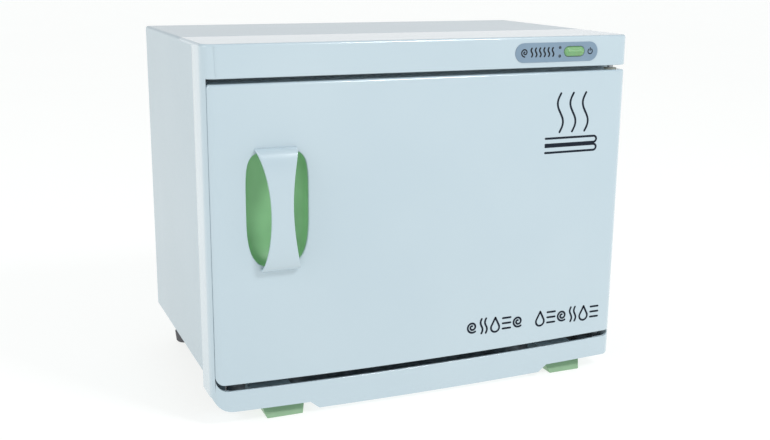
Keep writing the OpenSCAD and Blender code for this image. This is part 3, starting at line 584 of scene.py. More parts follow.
class CabinetColours(bpy.types.PropertyGroup):
    """Colours of the finishes that show from outside."""

    gloss_white: colour("Gloss white", "Front frame, door and handle", "#BFD0D8")
    gloss_white_shade: colour("Gloss white, shaded", "Darker end of the moulding's drift", "#BACCD5")
    coat_white: colour("Powder coat", "Side, top and rear sheets", "#A9BCC5")
    coat_white_shade: colour("Powder coat, shaded", "Darker end of the coat's drift", "#A4B8C1")
    cup_green: colour("Cup green", "Finger cup behind the handle", "#98D09A")
    cup_green_shade: colour("Cup green, shaded", "Darker end of the cup's drift", "#8CC48E")
    foot_green: colour("Foot green", "Front feet", "#92B791")
    foot_green_shade: colour("Foot green, shaded", "Darker end of the feet's drift", "#86AC85")
    button_green: colour("Button green", "Power button's cap", "#7EB07A")
    button_green_shade: colour("Button green, shaded", "Darker end of the button's drift", "#76A772")
    label_slate: colour("Label slate", "Control label's film", "#7F97AB")
    label_slate_shade: colour("Label slate, shaded", "Darker end of the film's drift", "#768EA3")
    ink: colour("Print ink", "Pictograms printed on the door", "#061322")
    ink_shade: colour("Print ink, thin", "Ink where it lies thinner", "#0A1B2C")


class CabinetStage(bpy.types.PropertyGroup):
    """Lights and camera round the cabinet."""

    room_light: amount("Room light", "Strength of the even light from all round", 1.03, 0, 3)
    key_light: amount("Key light", "Power of the small light over the front right, in watts", 23.0, 0, 200)
    side_light: amount("Side light", "Power of the soft light at the left, in watts", 12.0, 0, 200)
    floor_glow: amount("Floor glow", "How brightly the floor shines by itself", 0.80, 0, 3)
    floor_white: colour("Floor", "Colour of the floor", "#FBFCFA")
    lens: amount("Lens", "Focal length on a 36 mm wide sensor", 49.39, 10, 200)


# ---------------------------------------------------------------- builders


class CABINET_OT_finishes(bpy.types.Operator):
    """Make every finish and give it to the CAD nodes"""

    bl_idname = "cabinet.finishes"
    bl_label = "Finishes"

    def execute(self, context):
        make_finishes(context.scene.cabinet_colours)
        for row in frame["record"]["subparts"]:
            node = frame["nodes"][row["node"]]
            finish_name = SLOT_FINISH[row["material_slot"]]
            if row["node"] == "power_button":
                finish_name = "button_green_plastic"
            material = bpy.data.materials[finish_name]
            if not node.material_slots:
                node.data.materials.append(material)
            for slot in node.material_slots:
                slot.material = material
        return {"FINISHED"}


class CABINET_OT_front_frame(bpy.types.Operator):
    """Build the moulded front frame with its rounded edges and parting line"""

    bl_idname = "cabinet.front_frame"
    bl_label = "Front frame"

    def execute(self, context):
        sizes = context.scene.cabinet_sizes
        piece = cad_copy("front_frame_moulding", "front_frame")
        door_top, upper_gap, gap_depth, rail_end = DOOR_HIGH.z, 4.85 * MM, 13 * MM, 24 * MM

        def share(middle, along):
            if middle.z > TOP - 0.1 * MM and middle.y < FRAME_HIGH.y - 1 * MM:
                return 1.0
            if middle.y > FRONT + 37 * MM or abs(along.y) > 0.9:
                return 0.0
            under_fascia = abs(middle.z - door_top - upper_gap) < 0.5 * MM
            on_rail = (middle.y < FRONT + 0.1 * MM and abs(middle.x) < HALF - rail_end
                       and DOOR_LOW.z - 9 * MM < middle.z < DOOR_LOW.z)
            if middle.y < FRONT + gap_depth and (under_fascia or on_rail):
                return sizes.frame_edge / sizes.fascia_edge
            return 0.0

        round_edges(piece, sizes.fascia_edge, segments=4, weight=share)
        # parting line of the mould, a fine bead down the fascia's left corner
        low, high = door_top + 6.5 * MM, TOP - 1.5 * MM
        x, half, proud = -HALF + 11.2 * MM, 0.5 * MM, 0.55 * MM
        rings = []
        for z, lean, size in ((low, 1.2, 0.2), (low + 0.8 * MM, 1.15, 1), (high - 1.5 * MM, 0.1, 1),
                              (high, 0, 0.3)):
            rings.append([Vector((x + lean * MM + half * size * math.cos(t),
                                  FRONT + 0.05 * MM - proud * size * math.sin(t), z))
                          for t in (math.pi * i / 8 for i in range(9))])
        piece = join("front_frame_moulding", [piece, loft("bead", rings)])
        smooth(piece)
        dress(piece, "cabinet", "gloss_white_abs", "white_abs", ["front_frame"])
        return {"FINISHED"}


class CABINET_OT_case(bpy.types.Operator):
    """Build the bent case, the rear panel with its cooling slots and the base pan"""

    bl_idname = "cabinet.case"
    bl_label = "Case, rear panel and base pan"

    def execute(self, context):
        edge = context.scene.cabinet_sizes.sheet_edge
        wrap = self.wrap(edge)
        low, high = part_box("rear_panel")
        for side in (-1, 1):  # flanges that the rear panel is screwed to
            inner, outer = sorted((side * (HALF - 14 * MM), side * (HALF - 0.5 * MM)))
            outline = rounded(inner, outer, CASE_LOW.z + 4 * MM, TOP - 6 * MM, edge, 2)
            flange = loft("flange", [upright(outline, y) for y in (low.y - 1 * MM, low.y)])
            wrap = join("case_wrap", [wrap, flange])
        smooth(wrap)
        dress(wrap, "cabinet", "powder_coated_steel", "white_steel", ["outer_case"])
        worn = 0.3 * MM
        sheet = loft("rear_panel_sheet", [
            plate(low, high, inset, y, 2 * MM)
            for inset, y in ((worn, low.y), (0, low.y + worn), (0, high.y - worn), (worn, high.y))])
        inlet_low, inlet_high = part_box("power_inlet")
        outline = rounded(inlet_low.x + 1.3 * MM, inlet_high.x - 1.3 * MM, inlet_low.z + 3.8 * MM,
                          inlet_high.z - 3.8 * MM, 0.5 * MM)
        cut(sheet, loft("inlet_hole", [upright(outline, y) for y in (low.y - 1 * MM, high.y + 1 * MM)]))
        slot_w, slot_h = 3 * MM, 22 * MM
        outline = rounded(-slot_w / 2, slot_w / 2, 0, slot_h, slot_w / 2)
        knife = loft("slot_cutter", [upright(outline, y) for y in (-2 * MM, 4 * MM)])
        grow(sheet, slots_tree(), {
            "Cutter": knife, "Count": 10, "Pitch": 8 * MM, "Row centres": 100 * MM,
            "Height": TOP - 37 * MM, "Depth": low.y, "Material": bpy.data.materials["powder_coated_steel"]})
        bpy.data.objects.remove(knife)
        smooth(sheet, 30)
        dress(sheet, "cabinet", "powder_coated_steel", "white_steel", ["rear_panel"])
        pan = smooth(round_edges(cad_copy("base_pan_pressing", "base_pan"), 0.45 * MM, segments=2))
        dress(pan, "cabinet", "galvanised_steel", "zinc_steel", ["base_pan"])
        return {"FINISHED"}

    @staticmethod
    def wrap(edge):
        """The bent sheet over both sides and the top; its top starts behind the moulded deck."""
        bend, sheet = 3 * MM, 1 * MM
        deck = FRAME_HIGH.y
        foot, corner = CASE_LOW.z, TOP - bend
        stations = [(HALF, foot, 1, 0, CASE_LOW.y), (HALF, corner, 1, 0, CASE_LOW.y)]
        stations += [(HALF - bend + bend * c, corner + bend * s, c, s, deck) for s, c in quarter(8)]
        stations += [(-x, z, -nx, nz, y) for x, z, nx, nz, y in reversed(stations)]
        rings = []
        for x, z, nx, nz, y in stations:  # a place on the outside, its direction and the sheet's start
            rings.append([Vector((x - nx * a, b, z - nz * a))
                          for a, b in rounded(0, sheet, y, CASE_HIGH.y, edge, 3)])
        return loft("case_wrap", rings)


class CABINET_OT_chamber(bpy.types.Operator):
    """Build the pressed chamber liner, the runners and the drip tray"""

    bl_idname = "cabinet.chamber"
    bl_label = "Chamber, runners and tray"

    def execute(self, context):
        low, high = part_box("chamber_liner")
        lip, wall, bend = 8 * MM, 1 * MM, 4 * MM
        x0, x1, z0, z1 = low.x + lip, high.x - lip, low.z + lip, high.z - lip
        back = high.y - wall

        def ring(out, y, radius):
            return upright(rounded(x0 - out, x1 + out, z0 - out, z1 + out, radius, 8), y)

        rings = [ring(lip, low.y + wall, bend + lip), ring(lip, low.y + 0.3 * MM, bend + lip),
                 ring(lip - 0.3 * MM, low.y, bend + lip), ring(1.2 * MM, low.y, bend + 1.2 * MM),
                 ring(0.4 * MM, low.y + 0.4 * MM, bend + 0.4 * MM), ring(0, low.y + 1.2 * MM, bend)]
        for s, c in quarter(6):
            inset = bend * (1 - c)
            rings.append(ring(-inset, back - bend + bend * s, max(bend - inset, 0.4 * MM)))
        # outside of the box, from its back to the lip
        outer = [ring(-bend * 0.7, high.y, 1 * MM), ring(wall, high.y - bend, bend + wall),
                 ring(wall, low.y + wall, bend + wall)]
        shape = bmesh.new()
        rows = [[shape.verts.new(p) for p in r] for r in rings]
        shell = [[shape.verts.new(p) for p in r] for r in outer]
        skin(shape, rows)
        skin(shape, shell + [rows[0]])
        shape.faces.new(rows[-1])
        shape.faces.new(shell[0])
        liner = smooth(from_bmesh("chamber_lining", shape), 50)
        dress(liner, "cabinet", "anodised_aluminium", "aluminium_liner", ["chamber_liner"])

        runners = smooth(round_edges(cad_copy("rack_runner_channels", "rack_runners"), 0.35 * MM, 2))
        dress(runners, "cabinet", "anodised_aluminium", "aluminium_liner", ["rack_runners"])

        low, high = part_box("drip_tray")
        tray_wall, rim, corner = 1.2 * MM, 1.6 * MM, 7 * MM

        def tray_ring(inset, z):
            return level(rounded(low.x + inset, high.x - inset, low.y + inset, high.y - inset, corner, 7), z)

        floor_bend = 2.5 * MM
        rings = [tray_ring(floor_bend, low.z), tray_ring(0.8 * MM, low.z + 0.8 * MM),
                 tray_ring(0.3 * MM, low.z + floor_bend), tray_ring(0.3 * MM, high.z - rim)]
        for i in range(9):  # rolled rim
            turn = math.radians(-90 + 270 * i / 8)
            rings.append(tray_ring(rim / 2 - rim / 2 * math.cos(turn), high.z - rim / 2
                                   + rim / 2 * math.sin(turn)))
        rings += [tray_ring(tray_wall + 0.3 * MM, high.z - rim - 0.3 * MM),
                  tray_ring(tray_wall + 0.3 * MM, low.z + tray_wall + floor_bend),
                  tray_ring(tray_wall + 1.0 * MM, low.z + tray_wall + 0.8 * MM),
                  tray_ring(tray_wall + floor_bend, low.z + tray_wall)]
        tray = smooth(loft("drip_tray_pressing", rings), 50)
        dress(tray, "cabinet", "anodised_aluminium", "aluminium_liner", ["drip_tray"])
        return {"FINISHED"}


class CABINET_OT_racks(bpy.types.Operator):
    """Build the two wire racks"""

    bl_idname = "cabinet.racks"
    bl_label = "Wire racks"

    def execute(self, context):
        sizes = context.scene.cabinet_sizes
        frame_wire, cross_wire = 2.5 * MM, 1.5 * MM
        tree = rack_tree()
        for name, node in (("upper_rack_wires", "upper_rack"), ("lower_rack_wires", "lower_rack")):
            low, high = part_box(node)
            rack = spots(name, [(0, 0, 0)])
            grow(rack, tree, {
                "Width": high.x - low.x - 2 * frame_wire, "Depth": high.y - low.y - 2 * frame_wire,
                "Corner": 7 * MM, "Frame wire": frame_wire, "Cross wire": cross_wire,
                "Cross wires": sizes.rack_wires, "Margin": 8 * MM, "Lift": 2.2 * MM,
                "Material": bpy.data.materials["polished_stainless_wire"]})
            rack.data.transform(Matrix.Translation(((low.x + high.x) / 2, (low.y + high.y) / 2,
                                                    low.z + frame_wire)))
            smooth(rack, 50)
            dress(rack, "cabinet", "polished_stainless_wire", "stainless_wire", [node])
        return {"FINISHED"}


class CABINET_OT_controls(bpy.types.Operator):
    """Build the control label with its printed symbols and lamp lenses"""

    bl_idname = "cabinet.controls"
    bl_label = "Label and lamps"

    def execute(self, context):
        film_low, film_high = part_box("control_label")
        low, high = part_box("indicator_lamps")
        radius = (high.x - low.x) / 2
        edge, end_r = 0.2 * MM, (film_high.z - film_low.z) / 2
        film = loft("control_film", [
            plate(film_low, film_high, inset, y, end_r, 16)
            for inset, y in ((0, film_high.y), (0, film_low.y + edge), (0.3 * edge, film_low.y + 0.3 * edge),
                             (edge, film_low.y))])
        cap_low, cap_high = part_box("power_button")
        room = 0.4 * MM
        holes = [(cap_low.x - room, cap_high.x + room, cap_low.z - room, cap_high.z + room)]
        for z in (low.z + radius, high.z - radius):
            x, r = (low.x + high.x) / 2, radius + 0.1 * MM
            holes.append((x - r, x + r, z - r, z + r))
        for x0, x1, z0, z1 in holes:
            cut(film, loft("hole", [upright(rounded(x0, x1, z0, z1, (z1 - z0) / 2, 10), y)
                                    for y in (film_low.y - 1 * MM, film_high.y + 1 * MM)]))
        smooth(film)
        dress(film, "cabinet", "printed_film", "label", ["control_label"])
        dome = turned("lamp_part", [(radius * 0.9, 6 * MM), (radius, 5 * MM), (radius, 0.9 * MM),
                                    (radius * 0.92, 0.45 * MM), (radius * 0.7, 0.2 * MM),
                                    (radius * 0.35, 0.04 * MM), (0.02 * MM, 0)],
                      Vector((0, 0, 0)), (0, 1, 0), 20)
        x = (low.x + high.x) / 2
        lenses = copies("lamp_lenses", [(x, low.y, low.z + radius), (x, low.y, high.z - radius)],
                        dome, (0, 0, 0), "smoked_acrylic")
        smooth(lenses, 50)
        dress(lenses, "cabinet", "smoked_acrylic", "lamp", ["indicator_lamps"])

        # standby symbol to the right of the button
        cx, cz, w = (cap_high.x + film_high.x) / 2 - 1 * MM, centre("power_button").z, 1.1 * MM
        strokes = [(arc_points(cx, cz - 0.3 * MM, 2.6 * MM, 125, 415, 22), w),
                   ([(cx, cz + 0.4 * MM), (cx, cz + 3.2 * MM)], w)]
        # a rolled towel and a row of warmth marks at the left
        cx, tall = film_low.x + 10.5 * MM, 8.4 * MM
        strokes.append((spiral_points(cx, cz, 0.5 * MM, tall / 2, 1.5, 40), 1.35 * MM))
        strokes += [(wave_points(cx + (8 + 4.9 * i) * MM, cz - tall / 2, tall, 0.9 * MM, 12), 1.7 * MM)
                    for i in range(6)]
        print_piece = ribbons("label_symbols", strokes, film_low.y, 0.05 * MM)
        dress(print_piece, "cabinet", "label_ink", "label")
        return {"FINISHED"}


class CABINET_OT_button(bpy.types.Operator):
    """Build the power button's crowned cap and stem"""

    bl_idname = "cabinet.button"
    bl_label = "Power button"

    def execute(self, context):
        low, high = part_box("power_button")
        half_h = (high.z - low.z) / 2
        x, _, z = centre("power_button")
        cap_back, edge, crown = low.y + 7 * MM, 3.0 * MM, 1.1 * MM

        def ring(inset, y):
            return plate(low, high, inset, y, half_h - inset - 0.01 * MM, 10)

        rings = [ring(0.4 * MM, cap_back), ring(0, cap_back - 0.4 * MM), ring(0, low.y + edge + crown)]
        rings += [ring(edge * (1 - c), low.y + crown + edge * (1 - s)) for s, c in quarter(6)[1:]]
        for way, share in ((0.2, 0.70), (0.45, 0.38), (0.7, 0.13), (0.95, 0)):
            rings.append(ring(edge + (half_h - edge) * way, low.y + crown * share))
        outline = rounded(x - 4 * MM, x + 4 * MM, z - 2.5 * MM, z + 2.5 * MM, 0.4 * MM, 2)
        stem = loft("stem", [upright(outline, y) for y in (cap_back - 1 * MM, high.y)])
        round_edges(stem, 0.2 * MM, 1, 60)
        piece = smooth(join("power_button_cap", [loft("cap", rings), stem]), 50)
        dress(piece, "power_button", "button_green_plastic", "green_foot", ["power_button"])
        return {"FINISHED"}


class CABINET_OT_hinges(bpy.types.Operator):
    """Build the hinge brackets, pins and bushes, the catch magnets and the strike plates"""

    bl_idname = "cabinet.hinges"
    bl_label = "Hinges and catch"

    def execute(self, context):
        steel = ("zinc_plated_screw", "screw_steel")
        nylon = ("ivory_nylon", "ivory_plastic")
        rows = (
            ("top_hinge_plate", "hinge_bracket_top", 0.4, "cabinet", steel),
            ("bottom_hinge_plate", "hinge_bracket_bottom", 0.4, "cabinet", steel),
            ("top_hinge_pin", "hinge_pin_top", 0.35, "cabinet", steel),
            ("bottom_hinge_pin", "hinge_pin_bottom", 0.35, "cabinet", steel),
            ("catch_magnet_blocks", "catch_magnets", 0.5, "cabinet", ("black_nylon", "black_plastic")),
            ("strike_plate_pair", "strike_plates", 0.3, "door", steel),
            ("top_hinge_bush", "hinge_bush_top", 0.25, "door", nylon),
            ("bottom_hinge_bush", "hinge_bush_bottom", 0.25, "door", nylon),
        )
        for name, node, width, body, look in rows:
            shortest = 0 if "pin" in name or "bush" in name else 0.9 * MM
            piece = smooth(round_edges(cad_copy(name, node), width * MM, 2, shortest=shortest))
            dress(piece, body, *look, [node])
        return {"FINISHED"}


class CABINET_OT_feet(bpy.types.Operator):
    """Build the green front feet on their brackets and the rubber rear feet"""

    bl_idname = "cabinet.feet"
    bl_label = "Feet"

    def execute(self, context):
        for side in ("left", "right"):
            for name, node, width, steps, look in (
                    (f"front_foot_{side}_wedge", f"front_foot_{side}", 0.8, 3,
                     ("foot_green_plastic", "green_foot")),
                    (f"front_foot_arm_{side}", f"front_foot_bracket_{side}", 0.5, 2,
                     ("powder_coated_steel", "white_steel"))):
                piece = smooth(round_edges(cad_copy(name, node), width * MM, steps))
                dress(piece, "cabinet", *look, [node])
            low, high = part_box("rear_foot_" + side)
            radius, height = (high.x - low.x) / 2 / MM, (high.z - low.z) / MM
            bore, recess, floor = 1.9, 4.0, 5.0
            profile = [(bore, height), (radius - 0.5, height), (radius, height - 0.8), (radius - 1.2, 1.4),
                       (radius - 2.2, 0.15), (radius - 3.0, 0), (recess + 0.6, 0), (recess, 0.5),
                       (recess, floor), (bore, floor)]
            base = Vector((*centre("rear_foot_" + side).xy, low.z))
            rings = [[base + Vector((r * MM * math.cos(t), r * MM * math.sin(t), z * MM))
                      for t in circle(40)] for r, z in profile]
            pad = smooth(loft("rear_foot_" + side + "_pad", rings, loop=True), 50)
            dress(pad, "cabinet", "black_rubber", "black_rubber", ["rear_foot_" + side])
        return {"FINISHED"}


class CABINET_OT_power_inlet(bpy.types.Operator):
    """Build the appliance inlet and its contact pins"""

    bl_idname = "cabinet.power_inlet"
    bl_label = "Power inlet"

    def execute(self, context):
        low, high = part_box("power_inlet")
        x, _, z = centre("power_inlet")
        face = high.y
        panel_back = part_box("rear_panel")[1].y
        half_w, half_h = (high.x - low.x) / 2, (high.z - low.z) / 2
        body_w, body_h, hole_w, hole_h = 10 * MM, 13.7 * MM, 8.2 * MM, 12 * MM
        floor = panel_back - 15 * MM

        def ring(w, h, y, radius):
            return upright(rounded(x - w, x + w, z - h, z + h, radius, 5), y)

        body, flange, hole = (body_w, body_h), (half_w, half_h), (hole_w, hole_h)
        rings = [ring(w + grow_by * MM, h + grow_by * MM, y, radius * MM)
                 for (w, h), grow_by, y, radius in (
                     (body, -0.6, low.y, 1), (body, 0, low.y + 0.6 * MM, 1.5), (body, 0, panel_back, 1.5),
                     (flange, -0.2, panel_back, 3), (flange, 0, panel_back + 0.3 * MM, 3.2),
                     (flange, 0, face - 0.9 * MM, 3.2), (flange, -0.3, face - 0.3 * MM, 3),
                     (flange, -0.9, face, 2.6), (hole, 0.5, face, 2.6), (hole, 0, face - 0.5 * MM, 2.4),
                     (hole, 0, floor + 0.4 * MM, 2.4), (hole, -0.4, floor, 2))]
        housing = smooth(loft("inlet_housing", rings), 40)
        dress(housing, "cabinet", "black_nylon", "black_plastic", ["power_inlet"])
        pin_w, pin_t = 1.8 * MM, 1.0 * MM
        pin = loft("pin_part", [
            upright(rounded(-pin_w + inset, pin_w - inset, -pin_t + inset, pin_t - inset, 0.4 * MM, 3), y)
            for inset, y in ((0, 0), (0, 13 * MM), (0.25 * MM, 13.7 * MM), (0.7 * MM, 14 * MM))])
        places = [(x + right * MM, floor - 0.5 * MM, z + up * MM)
                  for right, up in ((-4, 0), (1, -7), (1, 7))]
        pins = copies("inlet_pins", places, pin, (0, 0, 0), "nickel_plate")
        smooth(pins, 40)
        dress(pins, "cabinet", "nickel_plate", "screw_steel")
        return {"FINISHED"}


def screw_part(head_radius, head_height, shank):
    """A pan-head screw with a cross recess; its head's underside is at the origin, its head along +Z."""
    r, h = head_radius, head_height
    part = turned("screw_part", [
        (1.4 * MM, -shank), (1.75 * MM, -shank + 0.5 * MM), (1.75 * MM, 0), (r, 0), (r, h * 0.35),
        (r * 0.93, h * 0.66), (r * 0.76, h * 0.88), (r * 0.5, h * 0.98), (0.05 * MM, h)],
        Vector((0, 0, 0)), (0, 0, 1), 24)
    depth = min(1.1 * MM, h * 0.8)
    for turn in (0, 90):
        blade = loft("blade", [
            [Matrix.Rotation(math.radians(turn), 3, "Z") @ p for p in level(
                rounded(-w, w, -0.42 * MM, 0.42 * MM, 0.1 * MM, 1), z)]
            for w, z in ((0.9 * MM, h - depth), (r * 0.6, h + 0.2 * MM))])
        cut(part, blade)
    return part


class CABINET_OT_screws(bpy.types.Operator):
    """Set the screws in the rear panel, front frame, feet, hinges and door"""

    bl_idname = "cabinet.screws"
    bl_label = "Screws"

    def execute(self, context):
        head = context.scene.cabinet_sizes.screw_head
        rows = (
            ("rear_panel_screw_set", "rear_panel_screws", 2.0, 5.5, (-90, 0, 0), "cabinet"),
            ("frame_screw_set", "frame_screws", 1.0, 5.0, (90, 0, 0), "cabinet"),
            ("foot_screw_set", "foot_screws", 2.0, 10.0, (180, 0, 0), "cabinet"),
            ("hinge_screw_set", "hinge_screws", 2.0, 1.9, (0, 0, 0), "cabinet"),
            ("door_panel_screw_set", "door_panel_screws", 0.8, 7.0, (-90, 0, 0), "door"),
        )
        for name, node, head_mm, shank_mm, turn_deg, body in rows:
            part = screw_part(head, head_mm * MM, shank_mm * MM)
            turn = [math.radians(a) for a in turn_deg]
            toward = Matrix.Rotation(turn[0], 3, "X") @ Vector((0, 0, 1))
            places = [p - toward * head_mm * MM for p in head_tops(node, toward)]
            piece = copies(name, places, part, turn, "zinc_plated_screw")
            smooth(piece, 40)
            dress(piece, body, "zinc_plated_screw", "screw_steel", [node])
        return {"FINISHED"}


def head_tops(node, toward):
    """The middle of each screw head's outer face, from a CAD node that holds several screws."""
    shape = bmesh.new()
    shape.from_mesh(frame["nodes"][node].data)
    bmesh.ops.remove_doubles(shape, verts=shape.verts, dist=0.002 * MM)
    left, found = set(shape.verts), []
    while left:
        group, edge_of = set(), [left.pop()]
        while edge_of:
            vert = edge_of.pop()
            group.add(vert)
            for edge in vert.link_edges:
                other = edge.other_vert(vert)
                if other in left:
                    left.discard(other)
                    edge_of.append(other)
        reach = max(v.co @ toward for v in group)
        top = [v.co for v in group if v.co @ toward > reach - 0.01 * MM]
        low = Vector([min(c[i] for c in top) for i in range(3)])
        high = Vector([max(c[i] for c in top) for i in range(3)])
        found.append((low + high) / 2)
    shape.free()
    return sorted(found, key=lambda p: tuple(round(c, 5) for c in p))


class CABINET_OT_door(bpy.types.Operator):
    """Build the door's outer moulding"""

    bl_idname = "cabinet.door"
    bl_label = "Door"

    def execute(self, context):
        sizes = context.scene.cabinet_sizes
        wall = 2.5 * MM
        shell = self.form("door_moulding", 0, sizes.door_top_edge, sizes.door_edge)
        cut(shell, self.form("hollow", wall, 0.8 * MM, 0.8 * MM))
        # the finger cup's mouth; the cutter flares, which leaves a rounded lip
        lip = sizes.mouth_lip
        rings = [upright(mouth_outline(lip), FRONT - 2 * MM)]
        for i, (s, c) in enumerate(quarter(5)):
            rings.append(upright(mouth_outline(lip * (1 - s)),
                                 FRONT + lip * (1 - c) - (0.001 * MM if i == 0 else 0)))
        rings.append(upright(mouth_outline(), FRONT + wall + 1 * MM))
        cut(shell, loft("mouth", rings))
        # bores for the hinge bushes
        reach = 3 * MM
        for node in ("hinge_bush_top", "hinge_bush_bottom"):
            low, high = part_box(node)
            radius, axis = (high.x - low.x) / 2 - 0.6 * MM, centre(node)
            cut(shell, turned("bore", [(radius, 0), (radius, high.z - low.z + 2 * reach)],
                              Vector((axis.x, axis.y, low.z - reach)), (0, 0, 1)))
        smooth(shell)
        dress(shell, "door", "gloss_white_abs", "white_abs", ["door_outer"])
        return {"FINISHED"}

    @staticmethod
    def form(name, inset, top_edge, low_edge):
        """The door as a filled form, from upright slices across its width.

        The front follows the frame's rounded corners, and the lower edge follows a shallow arch.
        With an inset the form is the door's hollow, open at the back.
        """
        # a narrow lip along the moulded edge closes most of the gap to the stile
        left, right = DOOR_LOW.x - 0.85 * MM, DOOR_HIGH.x
        arch_r, arch_low, top = 6600 * MM, DOOR_LOW.z, DOOR_HIGH.z
        back = DOOR_HIGH.y

        def corner(x, from_left, from_right):
            """How far a corner's arc draws the edge back at x."""
            for radius, away in ((from_left, x - left), (from_right, right - x)):
                if away < radius:
                    return radius - math.sqrt(max(radius * radius - (radius - away) ** 2, 0))
            return 0.0

        def bend(x):
            """How far the frame's rounded left corner lies back at x."""
            beyond = max(FRAME_LOW.x + FRAME_BEND - x, 0)
            return FRAME_BEND - math.sqrt(FRAME_BEND ** 2 - beyond ** 2)

        def slice_at(x):
            # the left end carries on the frame's own curve, with a small edge at the gap
            front = FRONT + corner(x, 1.2 * MM, 10 * MM) + bend(x)
            rear = FRONT + 13 * MM if x < DOOR_LOW.x else back - corner(x, 4 * MM, 10 * MM)
            arch = arch_low + arch_r - math.sqrt(arch_r * arch_r - x * x)
            low = arch + corner(x, 9 * MM, 4 * MM)
            high = top - corner(x, 3 * MM, 3 * MM)
            return front, rear, low, high

        # slices close together in the corners and evenly spaced between them
        reach, flat_steps = 10 * MM, 40
        ease = [reach * (1 - math.cos(math.pi / 2 * i / 12)) for i in range(13)]
        xs = sorted([left + e for e in ease] + [DOOR_LOW.x - 0.01 * MM, DOOR_LOW.x + 0.01 * MM])
        xs += [left + reach + (right - left - 2 * reach) * i / flat_steps for i in range(1, flat_steps)]
        xs += [right - e for e in reversed(ease)]
        rings = []
        for x in xs:
            front, rear, low, high = slice_at(x)
            if inset:
                x = left + inset + (x - left) * (right - left - 2 * inset) / (right - left)
                front, low, high, rear = front + inset, low + inset, high - inset, back + 1 * MM
            up = min(top_edge, (rear - front) * 0.45)
            down = min(low_edge, (rear - front) * 0.45)
            ring = [(rear, low)]
            ring += [(front + down * (1 - s), low + down * (1 - c)) for s, c in quarter(5)]
            ring += [(front + up * (1 - c), high - up * (1 - s)) for s, c in quarter(8)]
            rings.append([Vector((x, y, z)) for y, z in ring + [(rear, high)]])
        return loft(name, rings)


class CABINET_OT_door_back(bpy.types.Operator):
    """Build the door's inner panel with its raised field, and the seal round it"""

    bl_idname = "cabinet.door_back"
    bl_label = "Door lining and seal"

    def execute(self, context):
        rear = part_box("door_inner_panel")[1].y
        panel = smooth(round_edges(cad_copy("door_lining", "door_inner_panel"), 0.4 * MM, 2))
        seal_low, seal_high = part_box("door_seal")
        # raised field inside the seal, with sloping sides
        raised = smooth(loft("field", [
            plate(seal_low, seal_high, (17 + inset) * MM, rear + rise * MM, (14 - inset) * MM, 8)
            for inset, rise in ((0, -0.4), (0.2, 0.1), (0.9, 0.6), (2.2, 1.15), (3.4, 1.4), (5.0, 1.5))]), 50)
        lining = join("door_lining", [panel, raised])
        lining.name = "door_lining_panel"
        dress(lining, "door", "gloss_white_abs", "white_abs", ["door_inner_panel"])

        width, corner = 10, 9
        profile = [(0.0, 0.0), (0.0, 0.5), (1.2, 0.9), (2.2, 0.8), (2.9, 1.3), (3.8, 1.8), (5.0, 2.0),
                   (6.2, 1.8), (7.1, 1.3), (7.8, 0.8), (8.8, 0.9), (10.0, 0.5), (10.0, 0.0)]
        rings = [plate(seal_low, seal_high, (width - u) * MM, seal_low.y + v * MM, (corner + u) * MM, 8)
                 for u, v in profile]
        seal = smooth(loft("door_gasket", rings, loop=True), 50)
        dress(seal, "door", "silicone_seal", "grey_seal", ["door_seal"])
        return {"FINISHED"}


